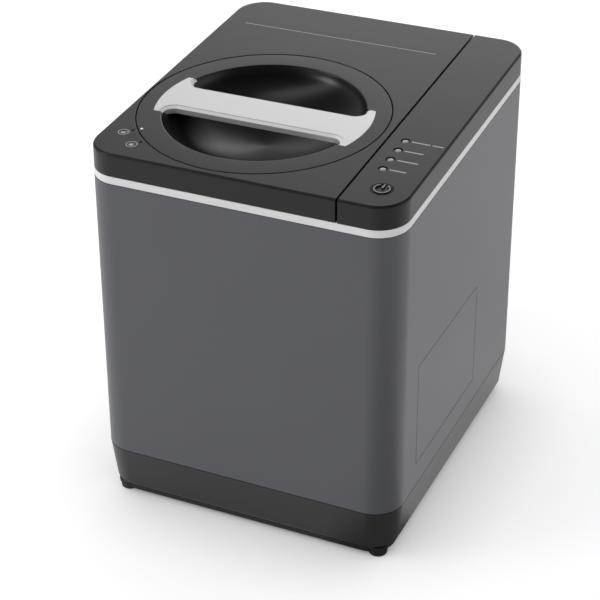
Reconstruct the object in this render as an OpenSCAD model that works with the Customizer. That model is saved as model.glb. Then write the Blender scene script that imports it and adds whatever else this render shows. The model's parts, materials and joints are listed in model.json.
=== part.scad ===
// Electric food waste composter: a free-standing bin with a sloping lid, a
// turning lock dial with a scooped bowl, a lift-out grinding bucket, a geared
// drive under the bucket and carbon filters behind a cover in the right side.
// The origin is on the floor under the middle of the body. X runs to the right,
// Y to the back and Z up. All sizes are in millimetres.

/* [Body] */
// Width of the body
body_w = 280; // [272:1:300]
// Depth of the body, front to back
body_d = 320; // [312:1:350]
// Height of the top at its back edge
body_h = 361; // [356:1:385]
// Slope of the top, falling to the front
top_slope = 3.5; // [2.5:0.25:4.5]
// Corner radius in plan
corner_r = 27; // [22:0.5:32]
// Sheet thickness of the body wrap
wrap_t = 1.6; // [1.2:0.1:2.2]
// Width of the hairlines between outer pieces
seam = 0.6; // [0.4:0.1:0.9]

/* [Base] */
// Height of the seam between the wrap and the base skirt
base_h = 50.4; // [46:0.2:56]
// Height of the skirt's lower edge above the floor
skirt_z = 10.5; // [9.5:0.5:13]
// Inward taper of the skirt over its height
skirt_taper = 5; // [3:0.5:7]
// Radius of the skirt's lower edge
skirt_edge_r = 3; // [2:0.5:4]
// Wall of the skirt and its floor
skirt_wall = 3; // [2.5:0.25:3.5]
// Inset of the plinth behind the skirt's lower edge
plinth_inset = 4; // [3:0.5:6]
// Gap between the plinth and the floor
plinth_gap = 3.6; // [3:0.2:4.5]
// Thickness of the bottom plate
plate_t = 2.5; // [2:0.25:3]
// Radius of a rubber foot
foot_r = 8.2; // [7:0.2:9]
// Height of a rubber foot
foot_h = 6.5; // [5.5:0.25:7.5]
// Distance of a foot's axis from the side of the body
foot_in_x = 19; // [18:0.5:21]
// Distance of a foot's axis from the front or back of the body
foot_in_y = 17.5; // [17:0.5:20]
// Number of air slots in the floor
vent_n = 9; // [5:1:9]
// Width of an air slot
vent_w = 8; // [6:0.5:9]
// Length of an air slot
vent_len = 70; // [50:5:75]
// Pitch of the air slots
vent_pitch = 14; // [11:0.5:15]
// Distance of the air slots from the back of the body
vent_back = 20; // [18:1:40]
// Radius of the screws' shanks
screw_r = 1.7; // [1.5:0.1:2]
// Radius of the screws' heads
screw_head_r = 3.2; // [2.8:0.1:3.5]

/* [Lid and console] */
// Height of the cap above the trim band
cap_h = 20.1; // [19:0.1:23]
// Height of the trim band
band_h = 6.8; // [5.5:0.1:8]
// Width of the trim band's frame
band_w = 4; // [3.5:0.25:5]
// Edge radius round the top
cap_edge_r = 1.5; // [1:0.25:2.5]
// Wall of the moulded caps
cap_wall = 2.5; // [2.2:0.1:2.8]
// Width of the console, from its seam to the right side
console_w = 52.7; // [50:0.1:56]
// Width of that seam
console_seam = 1.6; // [1.2:0.1:2]
// Gap under the closed lid
lid_gap = 0.3; // [0.2:0.05:0.4]
// Thickness of the deck under the lid
deck_t = 3.4; // [3:0.1:3.8]
// Thickness of the plate that closes the lid below
liner_plate_t = 2.2; // [2:0.1:2.6]

/* [Dial] */
// Width of the lid left of the dial
dial_left = 4; // [4:0.1:6]
// Width of the lid between the dial and the console
dial_right = 6.5; // [5:0.1:8]
// Width of the lid in front of the dial
dial_front = 7.3; // [6.5:0.1:10]
// Gap round the dial
dial_gap = 0.8; // [0.5:0.1:0.9]
// Thickness of the dial's rim
dial_t = 5; // [4.5:0.1:5.5]
// Width of the dial's rim round the bowl
rim_w = 21.4; // [21:0.1:25]
// Depth of the bowl
bowl_depth = 34; // [28:0.5:35]
// Wall of the bowl
bowl_wall = 2.4; // [2:0.1:2.6]
// Width of the handle bar
bar_w = 39.5; // [34:0.5:44]
// Radius of the corners where the bar meets the bowl's mouth
bar_fillet = 9.2; // [7:0.1:11]
// Width of the dial's rim outside the bar's inlaid ends
bar_end_in = 13.8; // [12:0.1:16]
// Half the width of the bar's inlaid ends
bar_end_w = 32.8; // [31:0.1:35]
// Thickness of the inlaid ends
bar_end_t = 2.6; // [2:0.1:3]
// Height of the bar across the bowl
bar_t = 7.2; // [6:0.1:9]
// Rounding of the bar's edges over the bowl
bar_edge_r = 1.6; // [1:0.1:2]
// Angle of the white mark on the dial
mark_angle = -140.7; // [-145:0.1:-135]
// Turn from open to locked
lock_turn = 11.5; // [10:0.5:13]
// Number of bayonet lugs
lug_n = 4; // [3:1:5]
// Width of a lug, in degrees
lug_angle = 18; // [14:1:20]
// Reach of the lugs under the deck
lug_reach = 3.2; // [2.4:0.1:3.6]
// Gap between the mouth of the deck and the ring that carries the lugs
ring_gap = 1.6; // [1.4:0.1:2.2]
// Depth of the plug below the top
plug_depth = 39.5; // [39:0.1:41]

/* [Well and bucket] */
// Distance of the deck's mouth in from the dial's edge
mouth_in = 11; // [10.4:0.1:11.2]
// Step from the deck's mouth in to the well
well_in = 2.5; // [2:0.1:2.7]
// Sheet thickness of the well
well_t = 1.5; // [1:0.1:2]
// Height of the well's floor above the floor below
well_z = 171; // [166:1:174]
// Thickness of the insulation round the well
felt_t = 7; // [5:0.5:8]
// Gap between the bucket's rim and the well
rim_gap = 2.1; // [1.9:0.1:3]
// Inward taper of the bucket from its rim to its foot
bucket_taper = 5.4; // [4:0.1:8]
// Gap between the bucket's rim and the lid's plug
rim_clear = 2.4; // [1.6:0.1:8]
// Wall of the bucket
bucket_t = 2; // [1.6:0.1:2.4]
// Radius of the bail's rod
bail_rod_r = 2.5; // [2:0.1:2.8]
// Depth of the bail's pivots below the rim
bail_drop = 9; // [8:0.5:12]

/* [Grinder] */
// Gap between the grinding arms and the bucket's foot
arm_gap = 7; // [6:0.5:13]
// Width of a grinding arm
arm_w = 11; // [9:0.5:13]
// Height of a grinding arm
arm_h = 9; // [7:0.5:10]
// Height between the levels of the arms
arm_pitch = 26; // [24:0.5:27]
// Length of the fixed bars, in from the bucket's foot
comb_len = 41; // [37:1:49]
// Radius of the rotor's journal in the bucket's floor
journal_r = 14; // [13:0.25:15]
// Radius of the six-sided drive dog, over its corners
dog_r = 9; // [8:0.25:10]
// Radial clearance of shafts in their bores
run_fit = 0.06; // [0.04:0.01:0.08]

/* [Drive] */
// Radius of the drive shaft
shaft_r = 6; // [5:0.25:7]
// Module of the second gear stage
mod_2 = 2.5; // [2:0.1:2.6]
// Teeth of the output gear
out_n = 36; // [32:1:38]
// Teeth of the idler's pinion
idler_n = 13; // [12:1:15]
// Module of the first gear stage
mod_1 = 2; // [1.6:0.1:2.2]
// Teeth of the idler's wheel
wheel_n = 32; // [28:1:36]
// Teeth of the motor's pinion
pinion_n = 12; // [11:1:14]
// Face width of the gears
gear_w = 12; // [10:0.5:13]
// Radius of the drive motor
motor_r = 30; // [26:0.5:32]
// Length of the drive motor
motor_len = 60; // [52:1:66]

/* [Filters] */
// Distance of the filter cover from the front of the body
cover_front = 53.8; // [50:0.2:58]
// Width of the filter cover
cover_w = 146; // [140:0.5:150]
// Distance of the filter cover above the base seam
cover_up = 22.6; // [20:0.2:26]
// Height of the filter cover
cover_h = 98.8; // [95:0.2:101]
// Thickness of the filter cover
cover_t = 2.4; // [2:0.1:2.8]
// Depth of the filter bay
bay_depth = 76; // [70:1:80]
// Wall of the filter bay
bay_wall = 2; // [1.6:0.1:2.4]
// Clearance round a filter cartridge
cart_gap = 1; // [0.8:0.1:1.4]

/* [Fan and back] */
// Tip radius of the fan
fan_r = 32; // [28:0.5:33]
// Number of fan blades
fan_n = 7; // [5:1:9]
// Distance of the fan's frame behind the filter bay
fan_y = 22; // [18:1:28]
// Distance of the back panel from each side of the body
back_side = 40; // [37:1:50]
// Distance of the back panel above the base seam
back_up = 34.6; // [30:0.2:45]
// Distance of the back panel below the top
back_under = 61; // [59:1:70]
// Corner radius of the back panel
back_r = 8; // [6:0.5:10]
// Length of a louvre slot
slot_len = 66; // [50:2:70]
// Distance of the louvres from the side of the back panel
slot_edge = 18; // [17:1:26]
// Number of slots behind the fan
fan_slots = 10; // [6:1:10]
// Number of slots near the top
top_slots = 7; // [4:1:8]
// Height of one louvre slot
slot_h = 3.6; // [3:0.1:4.2]
// Pitch of the louvre slots
slot_pitch = 8; // [7:0.25:9]
// Width of the mains inlet
inlet_w = 27; // [26:0.5:28]
// Height of the mains inlet
inlet_h = 20; // [19:0.5:21]
// Depth of the mains inlet
inlet_d = 21.6; // [20:0.2:24]
// Gap round the mains inlet
inlet_gap = 0.2; // [0.15:0.05:0.4]

/* [Controls] */
// Distance of the lamps from the console's left edge
lamp_in = 14.5; // [13:0.1:17]
// Distance of the first lamp from the front of the body
lamp_front = 108.4; // [104:0.1:112]
// Pitch of the lamps
lamp_pitch = 16.45; // [15:0.05:17]
// Radius of a lamp's lens
lamp_r = 2.9; // [2.4:0.1:3.2]
// Width of the recess round a lamp's lens
lamp_rim = 1.1; // [0.8:0.1:1.4]
// Depth of that recess
lamp_sink = 0.9; // [0.5:0.1:1.2]
// Distance of the power button from the front of the body
button_front = 28.7; // [26:0.1:32]
// Radius of the power button
button_r = 8.9; // [8.4:0.1:10]
// Width of the raised ring and bar on it
sign_w = 1.6; // [1.2:0.1:2]
// Height of the raised ring and bar
sign_h = 0.6; // [0.4:0.1:0.8]
// Travel of the power button
button_travel = 0.8; // [0.5:0.1:1]

/* [Hidden] */
$fn = 96;
big = 900;
mid_h = body_h - body_d / 2 * tan(top_slope);
top_d = body_d / cos(top_slope);
console_x = body_w / 2 - console_w;
console_l = console_x + console_seam / 2;
lid_edge = console_x - console_seam / 2;
// The dial fills the lid between its three lands
dial_r = (lid_edge + body_w / 2 - dial_left - dial_right) / 2;
dial_x = -body_w / 2 + dial_left + dial_r;
dial_y = -top_d / 2 + dial_front + dial_r;
bowl_r = dial_r - rim_w;
bar_end_r = dial_r - bar_end_in;
mouth_r = dial_r - mouth_in;
lug_r = mouth_r + lug_reach;
lock_ring_r = mouth_r - ring_gap;
well_r = mouth_r - well_in;
rim_r = well_r - rim_gap;
bucket_foot_r = rim_r - bucket_taper;
arm_r = bucket_foot_r - arm_gap;
comb_reach = bucket_foot_r - comb_len;
// Levels below the top, square to its slope
cap_z = -cap_h;
band_z1 = cap_z - lid_gap;
band_z0 = band_z1 - band_h;
deck_z1 = band_z1 - lid_gap;
deck_z0 = deck_z1 - deck_t;
lug_t = 3.1;
lug_z1 = deck_z0 - 0.6;
lug_z0 = lug_z1 - lug_t;
ring_z0 = lug_z0 - 0.6;
well_top_z = ring_z0 - 0.9;
// The well stands plumb under the middle of the plug
well_x = dial_x;
well_y = dial_y * cos(top_slope) + plug_depth * sin(top_slope);
well_side = well_r + well_t;
bucket_z = well_z + well_t;
// The rim stays clear of the sloping plug at its lowest point, in front
rim_z = mid_h + (well_y - rim_r) * tan(top_slope) - plug_depth / cos(top_slope) - rim_clear;
bucket_h = rim_z - bucket_z;
bail_z = rim_z - bail_drop;
bail_arc_r = rim_r - bucket_t - 3.4 - bail_rod_r;
// Floor of the base
floor_z = skirt_z + skirt_wall;
foot_x = body_w / 2 - foot_in_x;
foot_y = body_d / 2 - foot_in_y;
// Gear layout
stage_1 = mod_1 * (wheel_n + pinion_n) / 2;
stage_2 = mod_2 * (out_n + idler_n) / 2;
idler_dir = 140;
motor_dir = 60;
idler_x = well_x + stage_2 * cos(idler_dir);
idler_y = well_y + stage_2 * sin(idler_dir);
motor_x = idler_x + stage_1 * cos(motor_dir);
motor_y = idler_y + stage_1 * sin(motor_dir);
gb_wall = 3;
gb_gap = 11;
gb_head = 9;
gear_gap = 3;
heater_t = 7;
boss_h = 6;
boss_w = 6;
gb_top = well_z - heater_t - gb_gap;
gb_z = gb_top - 2 * gb_wall - 2 * gear_w - 2 * gear_gap - gb_head;
lvl_1 = gb_z + gb_wall + gear_gap;
lvl_2 = lvl_1 + gear_w + gear_gap;
idler_pin_r = 4;
heater_hole_r = 20;
dog_h = 11;
// Filter bay
cover_y0 = -body_d / 2 + cover_front;
cover_y1 = cover_y0 + cover_w;
cover_z0 = base_h + cover_up;
cover_z1 = cover_z0 + cover_h;
bay_x1 = body_w / 2 - cover_t - 0.4;
bay_x0 = bay_x1 - bay_depth;
bay_y0 = cover_y0;
bay_y1 = cover_y1;
bay_z1 = min(cover_z1 - 0.5, well_z - 0.6);
bay_mid = (cover_y0 + cover_y1) / 2;
rail_h = 4;
cart_w = (bay_y1 - bay_y0) / 2 - bay_wall - 1.5 * cart_gap;
cart_z0 = cover_z0 + bay_wall + rail_h + 0.2;
cart_h = bay_z1 - bay_wall - rail_h - 0.2 - cart_z0;
cart_x1 = bay_x1 - 3;
cart_x0 = bay_x0 + bay_wall + cart_gap;
fan_x = (bay_x0 + bay_x1) / 2;
fan_z = (cover_z0 + cover_z1) / 2;
fan_y0 = cover_y1 + fan_y;
fan_deep = 25;
fan_tip_gap = 1.4;
back_y = body_d / 2;
back_w = body_w - 2 * back_side;
back_z0 = base_h + back_up;
back_z1 = body_h - back_under;
button_x = (console_l + body_w / 2) / 2;
lamp_x = console_l + lamp_in;
lamp_y = -top_d / 2 + lamp_front;
button_y = -top_d / 2 + button_front;
sign_gap = 28;
board_z = -12;
board_t = 1.6;
button_foot_z = 5.4;
switch_w = 6;

pillar_r = 5;
vent_x = well_x;
port_r = 6.5;
port_z = rim_z + port_r + 1;
duct_top = port_z + port_r + 2.5;
heater_r = well_r - 8;
heater_turns = 4;
heater_pitch = (heater_r - heater_hole_r) / (heater_turns + 1);
heater_groove_r = 2.4;
terminal_r = 3;
terminal_h = 7;
duct_wall = 2;
duct_w = 30;
duct_l = 32;
duct_x = bay_x1 - duct_w / 2 - 5.2;
motor_shaft_r = 4;
bucket_floor = 3;
collar_h = 18;
arm_z = bucket_z + bucket_floor + 2.5;
comb_h = arm_pitch - arm_h - 6;
hub_h = 2 * arm_pitch + arm_h + 2;
fan_pin_r = 2.5;
fan_hub_r = 13;
fan_lip = 3;
spoke_t = 4;
spoke_w = 3;
fan_hub_h = fan_deep - spoke_t - fan_lip - 2;
blade_t = 1.8;
blade_tilt = 40;
cap_inset = 0.3;
ledge_z1 = -dial_t - 1.5;
ledge_z0 = ledge_z1 - 2.5;
seal_r = lug_r + 4;
shield_r = lock_ring_r - 4;
back_screw_l = 8;
back_screw_in = 8;
inlet_x = -body_w / 2 + 80;
inlet_z = back_z0 + 30;
board_x0 = console_l + cap_wall + 2;
board_x1 = body_w / 2 - cap_wall - 4;
board_y0 = button_y - 9;
board_y1 = lamp_y + 30;
function lug_dir(i) = 45 + i * 360 / lug_n;
// Centres of the rounded corners of the bowl's two openings, and where their arcs end on the bowl
fillet_y = bar_w / 2 + bar_fillet;
fillet_x = sqrt(pow(bowl_r - bar_fillet, 2) - pow(fillet_y, 2));
fillet_dir = atan2(fillet_y, fillet_x);
moon_x = bowl_r * cos(fillet_dir);
moon_y = bowl_r * sin(fillet_dir);
bar_end_dir = asin(bar_end_w / bowl_r);
bar_slip = 0.3;

// A rounded rectangle with true arcs
module plan(w, d, r) {
    union() {
        square([w - 2 * r, d], center = true);
        square([w, d - 2 * r], center = true);
        for (sx = [-1, 1], sy = [-1, 1])
            translate([sx * (w / 2 - r), sy * (d / 2 - r)]) circle(r);
    }
}
module body_plan(inset) plan(body_w - 2 * inset, body_d - 2 * inset, corner_r - inset);
// Places children in the frame of the sloping top
module on_top() translate([0, 0, mid_h]) rotate([top_slope, 0, 0]) children();
module at_dial() on_top() translate([dial_x, dial_y, 0]) children();
module at_well() translate([well_x, well_y, 0]) children();
// All that lies above a level of the sloping frame
module above(z) on_top() translate([-big / 2, -big / 2, z]) cube(big);
// A slab between two levels of the sloping frame
module slab(z0, z1) on_top() translate([-big / 2, -big / 2, z0]) cube([big, big, z1 - z0]);
// A thin slice of the body's outline in the sloping frame, with plumb sides
module slice(z, inset) translate([0, z * tan(top_slope), z]) linear_extrude(0.01)
    plan(body_w - 2 * inset, top_d - 2 * inset, corner_r - inset);
module tube(r1, r0, h) difference() {
    cylinder(h = h, r = r1);
    translate([0, 0, -1]) cylinder(h = h + 2, r = r0);
}
// A ring sector, from an angle over a width
module sector(r0, r1, a, w, h) rotate([0, 0, a - w / 2]) rotate_extrude(angle = w) translate([r0, 0])
    square([r1 - r0, h]);
module at_feet() for (sx = [-1, 1], sy = [-1, 1]) translate([sx * foot_x, sy * foot_y, 0]) children();

// Base
module rubber_feet() color("#1a1a1a") at_feet()
    rotate_extrude() polygon([[screw_r + 0.3, 3], [screw_head_r + 0.5, 3], [screw_head_r + 0.5, 0],
        [foot_r - 1, 0], [foot_r, 1], [foot_r, foot_h], [screw_r + 0.3, foot_h]]);
module foot_screws() color("#8c8c8c") at_feet() union() {
    translate([0, 0, 1]) cylinder(h = 2, r = screw_head_r);
    translate([0, 0, 2.5]) cylinder(h = floor_z + 10 - 2.5, r = screw_r);
}
module plinth_plan(inset) plan(body_w - 2 * (skirt_taper + plinth_inset + inset),
    body_d - 2 * (skirt_taper + plinth_inset + inset), corner_r - skirt_taper - plinth_inset - inset + 4);
module bottom_plate() color("#141414") difference() {
    union() {
        translate([0, 0, plinth_gap]) linear_extrude(skirt_z - plinth_gap) difference() {
            plinth_plan(0);
            plinth_plan(plate_t);
        }
        translate([0, 0, skirt_z - plate_t]) linear_extrude(plate_t) plinth_plan(0);
        at_feet() translate([0, 0, foot_h]) cylinder(h = skirt_z - foot_h, r = foot_r + 1.3);
    }
    at_feet() translate([0, 0, -1]) cylinder(h = foot_h + 1, r = foot_r + 0.4);
    at_feet() cylinder(h = 40, r = screw_r + 0.3);
    vent_cuts();
}
// Air slots in the floor
module vent_cuts() for (i = [0:vent_n - 1])
    translate([vent_x + (i - (vent_n - 1) / 2) * vent_pitch - vent_w / 2,
        body_d / 2 - vent_back - vent_len, 0]) cube([vent_w, vent_len, floor_z + 20]);
module skirt_solid(inset, z0) hull() {
    k = skirt_taper / (base_h - skirt_z);
    translate([0, 0, base_h - seam - 0.01]) linear_extrude(0.01) body_plan(inset + k * seam);
    for (a = [0:22.5:90]) translate([0, 0, z0 + skirt_edge_r * (1 - sin(a))])
        linear_extrude(0.01)
            body_plan(inset + skirt_taper - k * skirt_edge_r * (1 - sin(a)) + skirt_edge_r * (1 - cos(a)));
}
module base_skirt() color("#3a3a3b") difference() {
    union() {
        difference() {
            skirt_solid(0, skirt_z);
            hull() {
                translate([0, 0, base_h]) linear_extrude(1) body_plan(skirt_wall);
                translate([0, 0, floor_z]) linear_extrude(0.01) body_plan(skirt_wall + skirt_taper);
            }
        }
        // Tongue that the wrap slides over
        translate([0, 0, base_h - 9]) linear_extrude(16) difference() {
            body_plan(wrap_t + 0.2);
            body_plan(wrap_t + 0.2 + skirt_wall);
        }
    }
    at_feet() cylinder(h = 60, r = screw_r + 0.3);
    vent_cuts();
}
module frame_pillars() color("#9a9a9a") difference() {
    at_feet() translate([0, 0, floor_z]) cylinder(h = body_h, r = pillar_r);
    above(deck_z0);
    at_feet() translate([0, 0, floor_z - 1]) cylinder(h = 16, r = screw_r);
}

// Housing
module cover_hole(gap) translate([body_w / 2 - 10, cover_y0 + gap, cover_z0 + gap])
    cube([20, cover_y1 - cover_y0 - 2 * gap, cover_z1 - cover_z0 - 2 * gap]);
module back_plan(gap) translate([0, (back_z0 + back_z1) / 2])
    plan(back_w - 2 * gap, back_z1 - back_z0 - 2 * gap, back_r - gap);
// Extrudes a plan of the back forwards, between two depths
module on_back(y0, y1) translate([0, y1, 0]) rotate([90, 0, 0]) linear_extrude(y1 - y0) children();
module body_wrap() color("#5b5c60") difference() {
    translate([0, 0, base_h]) linear_extrude(body_h) difference() {
        body_plan(0);
        body_plan(wrap_t);
    }
    above(band_z0 - seam / 2);
    cover_hole(0);
    on_back(back_y - 10, back_y + 10) back_plan(0);
}
module trim_band() color("#dcdcdc") intersection() {
    linear_extrude(body_h) difference() {
        body_plan(0);
        body_plan(band_w);
    }
    slab(band_z0, band_z1);
}
module top_deck() color("#232324") difference() {
    intersection() {
        linear_extrude(body_h) body_plan(band_w);
        slab(deck_z0, deck_z1);
    }
    at_dial() translate([0, 0, deck_z0 - 1]) {
        cylinder(h = deck_t + 2, r = mouth_r);
        // Entry notches of the bayonet
        for (i = [0:lug_n - 1]) rotate(lug_dir(i)) linear_extrude(deck_t + 2)
            polygon([for (q = [[mouth_r - 4, -1], [lug_r + 1.6, -1], [lug_r + 2, 0], [lug_r + 1.6, 1],
                [mouth_r - 4, 1]])
                q[0] * [cos(q[1] * (lug_angle / 2 + 2.5)), sin(q[1] * (lug_angle / 2 + 2.5))]]);
    }
}
module well_liner() color("#b4b7bb") difference() {
    at_well() translate([0, 0, well_z]) difference() {
        cylinder(h = body_h, r = well_side);
        translate([0, 0, well_t]) cylinder(h = body_h, r = well_r);
        translate([0, 0, -1]) cylinder(h = well_t + 2, r = heater_hole_r);
    }
    above(well_top_z);
    port_hole(port_r);
}
module port_hole(r) translate([well_x, well_y, port_z]) rotate([0, 90, 0])
    cylinder(h = 2 * well_side, r = r);
module heater_plate() color("#9fa3a8") at_well() union() {
    translate([0, 0, well_z - heater_t]) rotate_extrude() difference() {
        translate([heater_hole_r, 0]) square([heater_r - heater_hole_r, heater_t]);
        for (i = [1:heater_turns]) translate([heater_hole_r + i * heater_pitch, 0]) circle(heater_groove_r);
    }
    // Terminals on the land inside the last groove
    for (s = [-1, 1]) rotate(-90 + s * 11)
        translate([heater_hole_r + (heater_turns - 0.5) * heater_pitch, 0, well_z - heater_t - terminal_h])
            cylinder(h = terminal_h + 1, r = terminal_r);
}
module insulation() color("#c9c4b4") difference() {
    at_well() translate([0, 0, well_z + 2]) tube(well_side + 0.3 + felt_t, well_side + 0.3, body_h);
    above(well_top_z - 1);
    port_hole(port_r + duct_wall + 0.2);
}

// Drive under the well
function inv(a) = tan(a) * 180 / PI - a;
function gear_pts(n, m, r_add, slack) = let(rp = n * m / 2, rb = rp * cos(20), ra = rp + r_add * m,
    rf = rp - 1.2 * m,
    hp = 90 / n - slack * m / rp * 180 / PI / 2 + inv(20), rm = (max(rb, rf) + ra) / 2)
    [for (i = [0:n - 1], q = [[rf, -1, rb], [max(rb, rf + 0.2 * m), -1, rb], [rm, -1, rb], [ra, -1, rb],
        [ra, 1, rb], [rm, 1, rb], [max(rb, rf + 0.2 * m), 1, rb], [rf, 1, rb]])
        let(h = hp - inv(acos(min(1, q[2] / q[0]))), a = i * 360 / n + q[1] * h) q[0] * [cos(a), sin(a)]];
module gear(n, m, h) linear_extrude(h) polygon(gear_pts(n, m, 0.9, 0.09));
module gb_plan(inset) hull() {
    translate([well_x, well_y]) circle(mod_2 * (out_n / 2 + 1) + 4.5 - inset, $fn = 64);
    translate([idler_x, idler_y]) circle(mod_1 * (wheel_n / 2 + 1) + 5 - inset, $fn = 64);
    translate([motor_x, motor_y]) circle(mod_1 * (pinion_n / 2 + 1) + 14 - inset, $fn = 64);
}
module gearbox_base() color("#3d4044") difference() {
    union() {
        translate([0, 0, gb_z]) linear_extrude(gb_top - gb_wall - gb_z) difference() {
            gb_plan(0);
            gb_plan(gb_wall);
        }
        translate([0, 0, gb_z]) linear_extrude(gb_wall) gb_plan(0);
        at_well() translate([0, 0, gb_z]) cylinder(h = gb_wall + 2, r = shaft_r + 5);
        translate([idler_x, idler_y, gb_z]) cylinder(h = gb_top - gb_wall - gb_z, r = idler_pin_r);
        for (p = [[well_x + 42, well_y], [well_x, well_y - 42], [idler_x - 29, idler_y - 6],
            [well_x + 14, well_y + 40]])
            translate([p[0], p[1], floor_z]) cylinder(h = gb_z - floor_z + 1, r = 5);
    }
    at_well() translate([0, 0, gb_z - 1]) cylinder(h = gb_wall + 9, r = shaft_r + run_fit);
    translate([motor_x, motor_y, gb_z - 1]) cylinder(h = gb_wall + 2, r = motor_shaft_r + 2);
}
module gearbox_cover() color("#4a4d52") difference() {
    union() {
        translate([0, 0, gb_top - gb_wall]) linear_extrude(gb_wall) gb_plan(0);
        at_well() translate([0, 0, gb_top - gb_wall]) cylinder(h = gb_wall + boss_h, r = shaft_r + boss_w);
    }
    at_well() translate([0, 0, gb_top - gb_wall - 1])
        cylinder(h = gb_wall + boss_h + 2, r = shaft_r + run_fit);
}
module drive_motor() color("#8f9296") translate([motor_x, motor_y, gb_z - motor_len]) difference() {
    union() {
        rotate_extrude() polygon([[0, 0], [motor_r - 4, 0], [motor_r - 2, 2], [motor_r - 2, 8],
            [motor_r, 8], [motor_r, motor_len - 5],
            [motor_r - 2, motor_len - 5], [motor_r - 2, motor_len], [0, motor_len]]);
        translate([0, 0, -5]) cylinder(h = 6, r = 10);
        for (s = [-1, 1]) translate([s * 16 - 3, -0.4, -7]) cube([6, 0.8, 8]);
    }
    translate([0, 0, motor_len - 25]) cylinder(h = 26, r = motor_shaft_r + run_fit);
    for (i = [0:7]) rotate(i * 45) translate([motor_r - 6, -3, 2.5]) cube([10, 6, 4]);
}
module drive_shaft() color("#c7c9cc") at_well() union() {
    translate([0, 0, gb_z + 0.5]) cylinder(h = well_z - gb_z, r = shaft_r);
    translate([0, 0, well_z - 2]) cylinder(h = bucket_z - well_z + 2 + dog_h, r = dog_r, $fn = 6);
}
module output_gear() color("#d8d3c4") at_well() difference() {
    union() {
        translate([0, 0, lvl_2]) rotate(idler_dir) gear(out_n, mod_2, gear_w);
        translate([0, 0, lvl_2 - 1.5]) cylinder(h = gear_w + 5, r = shaft_r + 6);
    }
    translate([0, 0, lvl_2 - 5]) cylinder(h = gear_w + 20, r = shaft_r);
    for (i = [0:5]) rotate(i * 60) translate([(shaft_r + 6 + mod_2 * out_n / 2) / 2, 0, lvl_2 - 1])
        cylinder(h = gear_w + 2, r = 7);
}
module idler_gear() color("#e2ddcf") translate([idler_x, idler_y, 0]) difference() {
    union() {
        translate([0, 0, lvl_1]) rotate(motor_dir) gear(wheel_n, mod_1, gear_w);
        translate([0, 0, lvl_1 + gear_w - 1]) cylinder(h = lvl_2 - lvl_1 - gear_w + 2,
            r = mod_2 * (idler_n / 2 - 1.3));
        translate([0, 0, lvl_2]) rotate(idler_dir + 180 + 180 / idler_n) gear(idler_n, mod_2, gear_w);
    }
    translate([0, 0, lvl_1 - 1]) cylinder(h = 2 * gear_w + 20, r = idler_pin_r + run_fit);
}
module motor_pinion() color("#b08d4c") translate([motor_x, motor_y, 0]) union() {
    translate([0, 0, lvl_1]) rotate(motor_dir + 180 + 180 / pinion_n) gear(pinion_n, mod_1, gear_w);
    translate([0, 0, gb_z - 20]) cylinder(h = lvl_1 - gb_z + 20 + gear_w + 1.5, r = motor_shaft_r);
}

// Bucket and grinder
bucket_out = [[journal_r + run_fit, 0], [bucket_foot_r - 6, 0], [bucket_foot_r - 1.8, 1.8],
    [bucket_foot_r, 6],
    [rim_r - 1.9, bucket_h - 3], [rim_r, bucket_h - 3], [rim_r, bucket_h]];
bucket_in = [[rim_r - 1.9 - bucket_t, bucket_h], [bucket_foot_r - bucket_t, 8],
    [bucket_foot_r - bucket_t - 1.8, bucket_floor + 1.6],
    [bucket_foot_r - bucket_t - 6, bucket_floor]];
module bucket() color("#57595c") at_well() difference() {
    translate([0, 0, bucket_z]) rotate_extrude() polygon(concat(bucket_out, bucket_in,
        [[journal_r + run_fit + 4, bucket_floor], [journal_r + run_fit + 4, collar_h],
            [journal_r + run_fit, collar_h]]));
    translate([-body_w / 2, 0, bail_z]) rotate([0, 90, 0]) cylinder(h = body_w, r = bail_rod_r + run_fit);
}
module bucket_cavity() at_well() translate([0, 0, bucket_z]) rotate_extrude()
    polygon(concat(bucket_in, [[0, bucket_floor], [0, bucket_h]]));
module bucket_combs() color("#6b6d70") intersection() {
    bucket_cavity();
    at_well() for (i = [0:2])
        translate([0, 0, arm_z + arm_h + (arm_pitch - arm_h - comb_h) / 2 + i * arm_pitch])
        rotate(70 + i * 120)
        linear_extrude(comb_h) polygon([[comb_reach, 0], [comb_reach + 4, -4], [body_w, -7], [body_w, 7],
            [comb_reach + 4, 4]]);
}
module bail_handle() color("#2b2b2c") translate([well_x, well_y, bail_z]) union() {
    rotate([0, 0, 180]) rotate_extrude(angle = 180) translate([bail_arc_r, 0]) circle(bail_rod_r, $fn = 48);
    for (s = [-1, 1]) rotate([0, s * 90, 0]) translate([0, 0, bail_arc_r - 0.6])
        cylinder(h = rim_r - 0.6 - bail_arc_r, r = bail_rod_r);
}
module arm_blade() linear_extrude(arm_h) polygon([[0, -arm_w / 2 - 2], [22, -arm_w / 2 - 2],
    [40, -arm_w / 2 - 4], [arm_r - 26, -arm_w / 2 - 5],
    [arm_r - 24, -arm_w / 2 - 9], [arm_r - 15, -arm_w / 2 - 6], [arm_r - 13, -arm_w / 2 - 10],
        [arm_r - 3, -arm_w / 2 - 6], [arm_r, -arm_w / 2],
    [arm_r - 2, arm_w / 2 - 4], [40, arm_w / 2 - 1], [22, arm_w / 2 + 2], [0, arm_w / 2 + 2]]);
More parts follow.
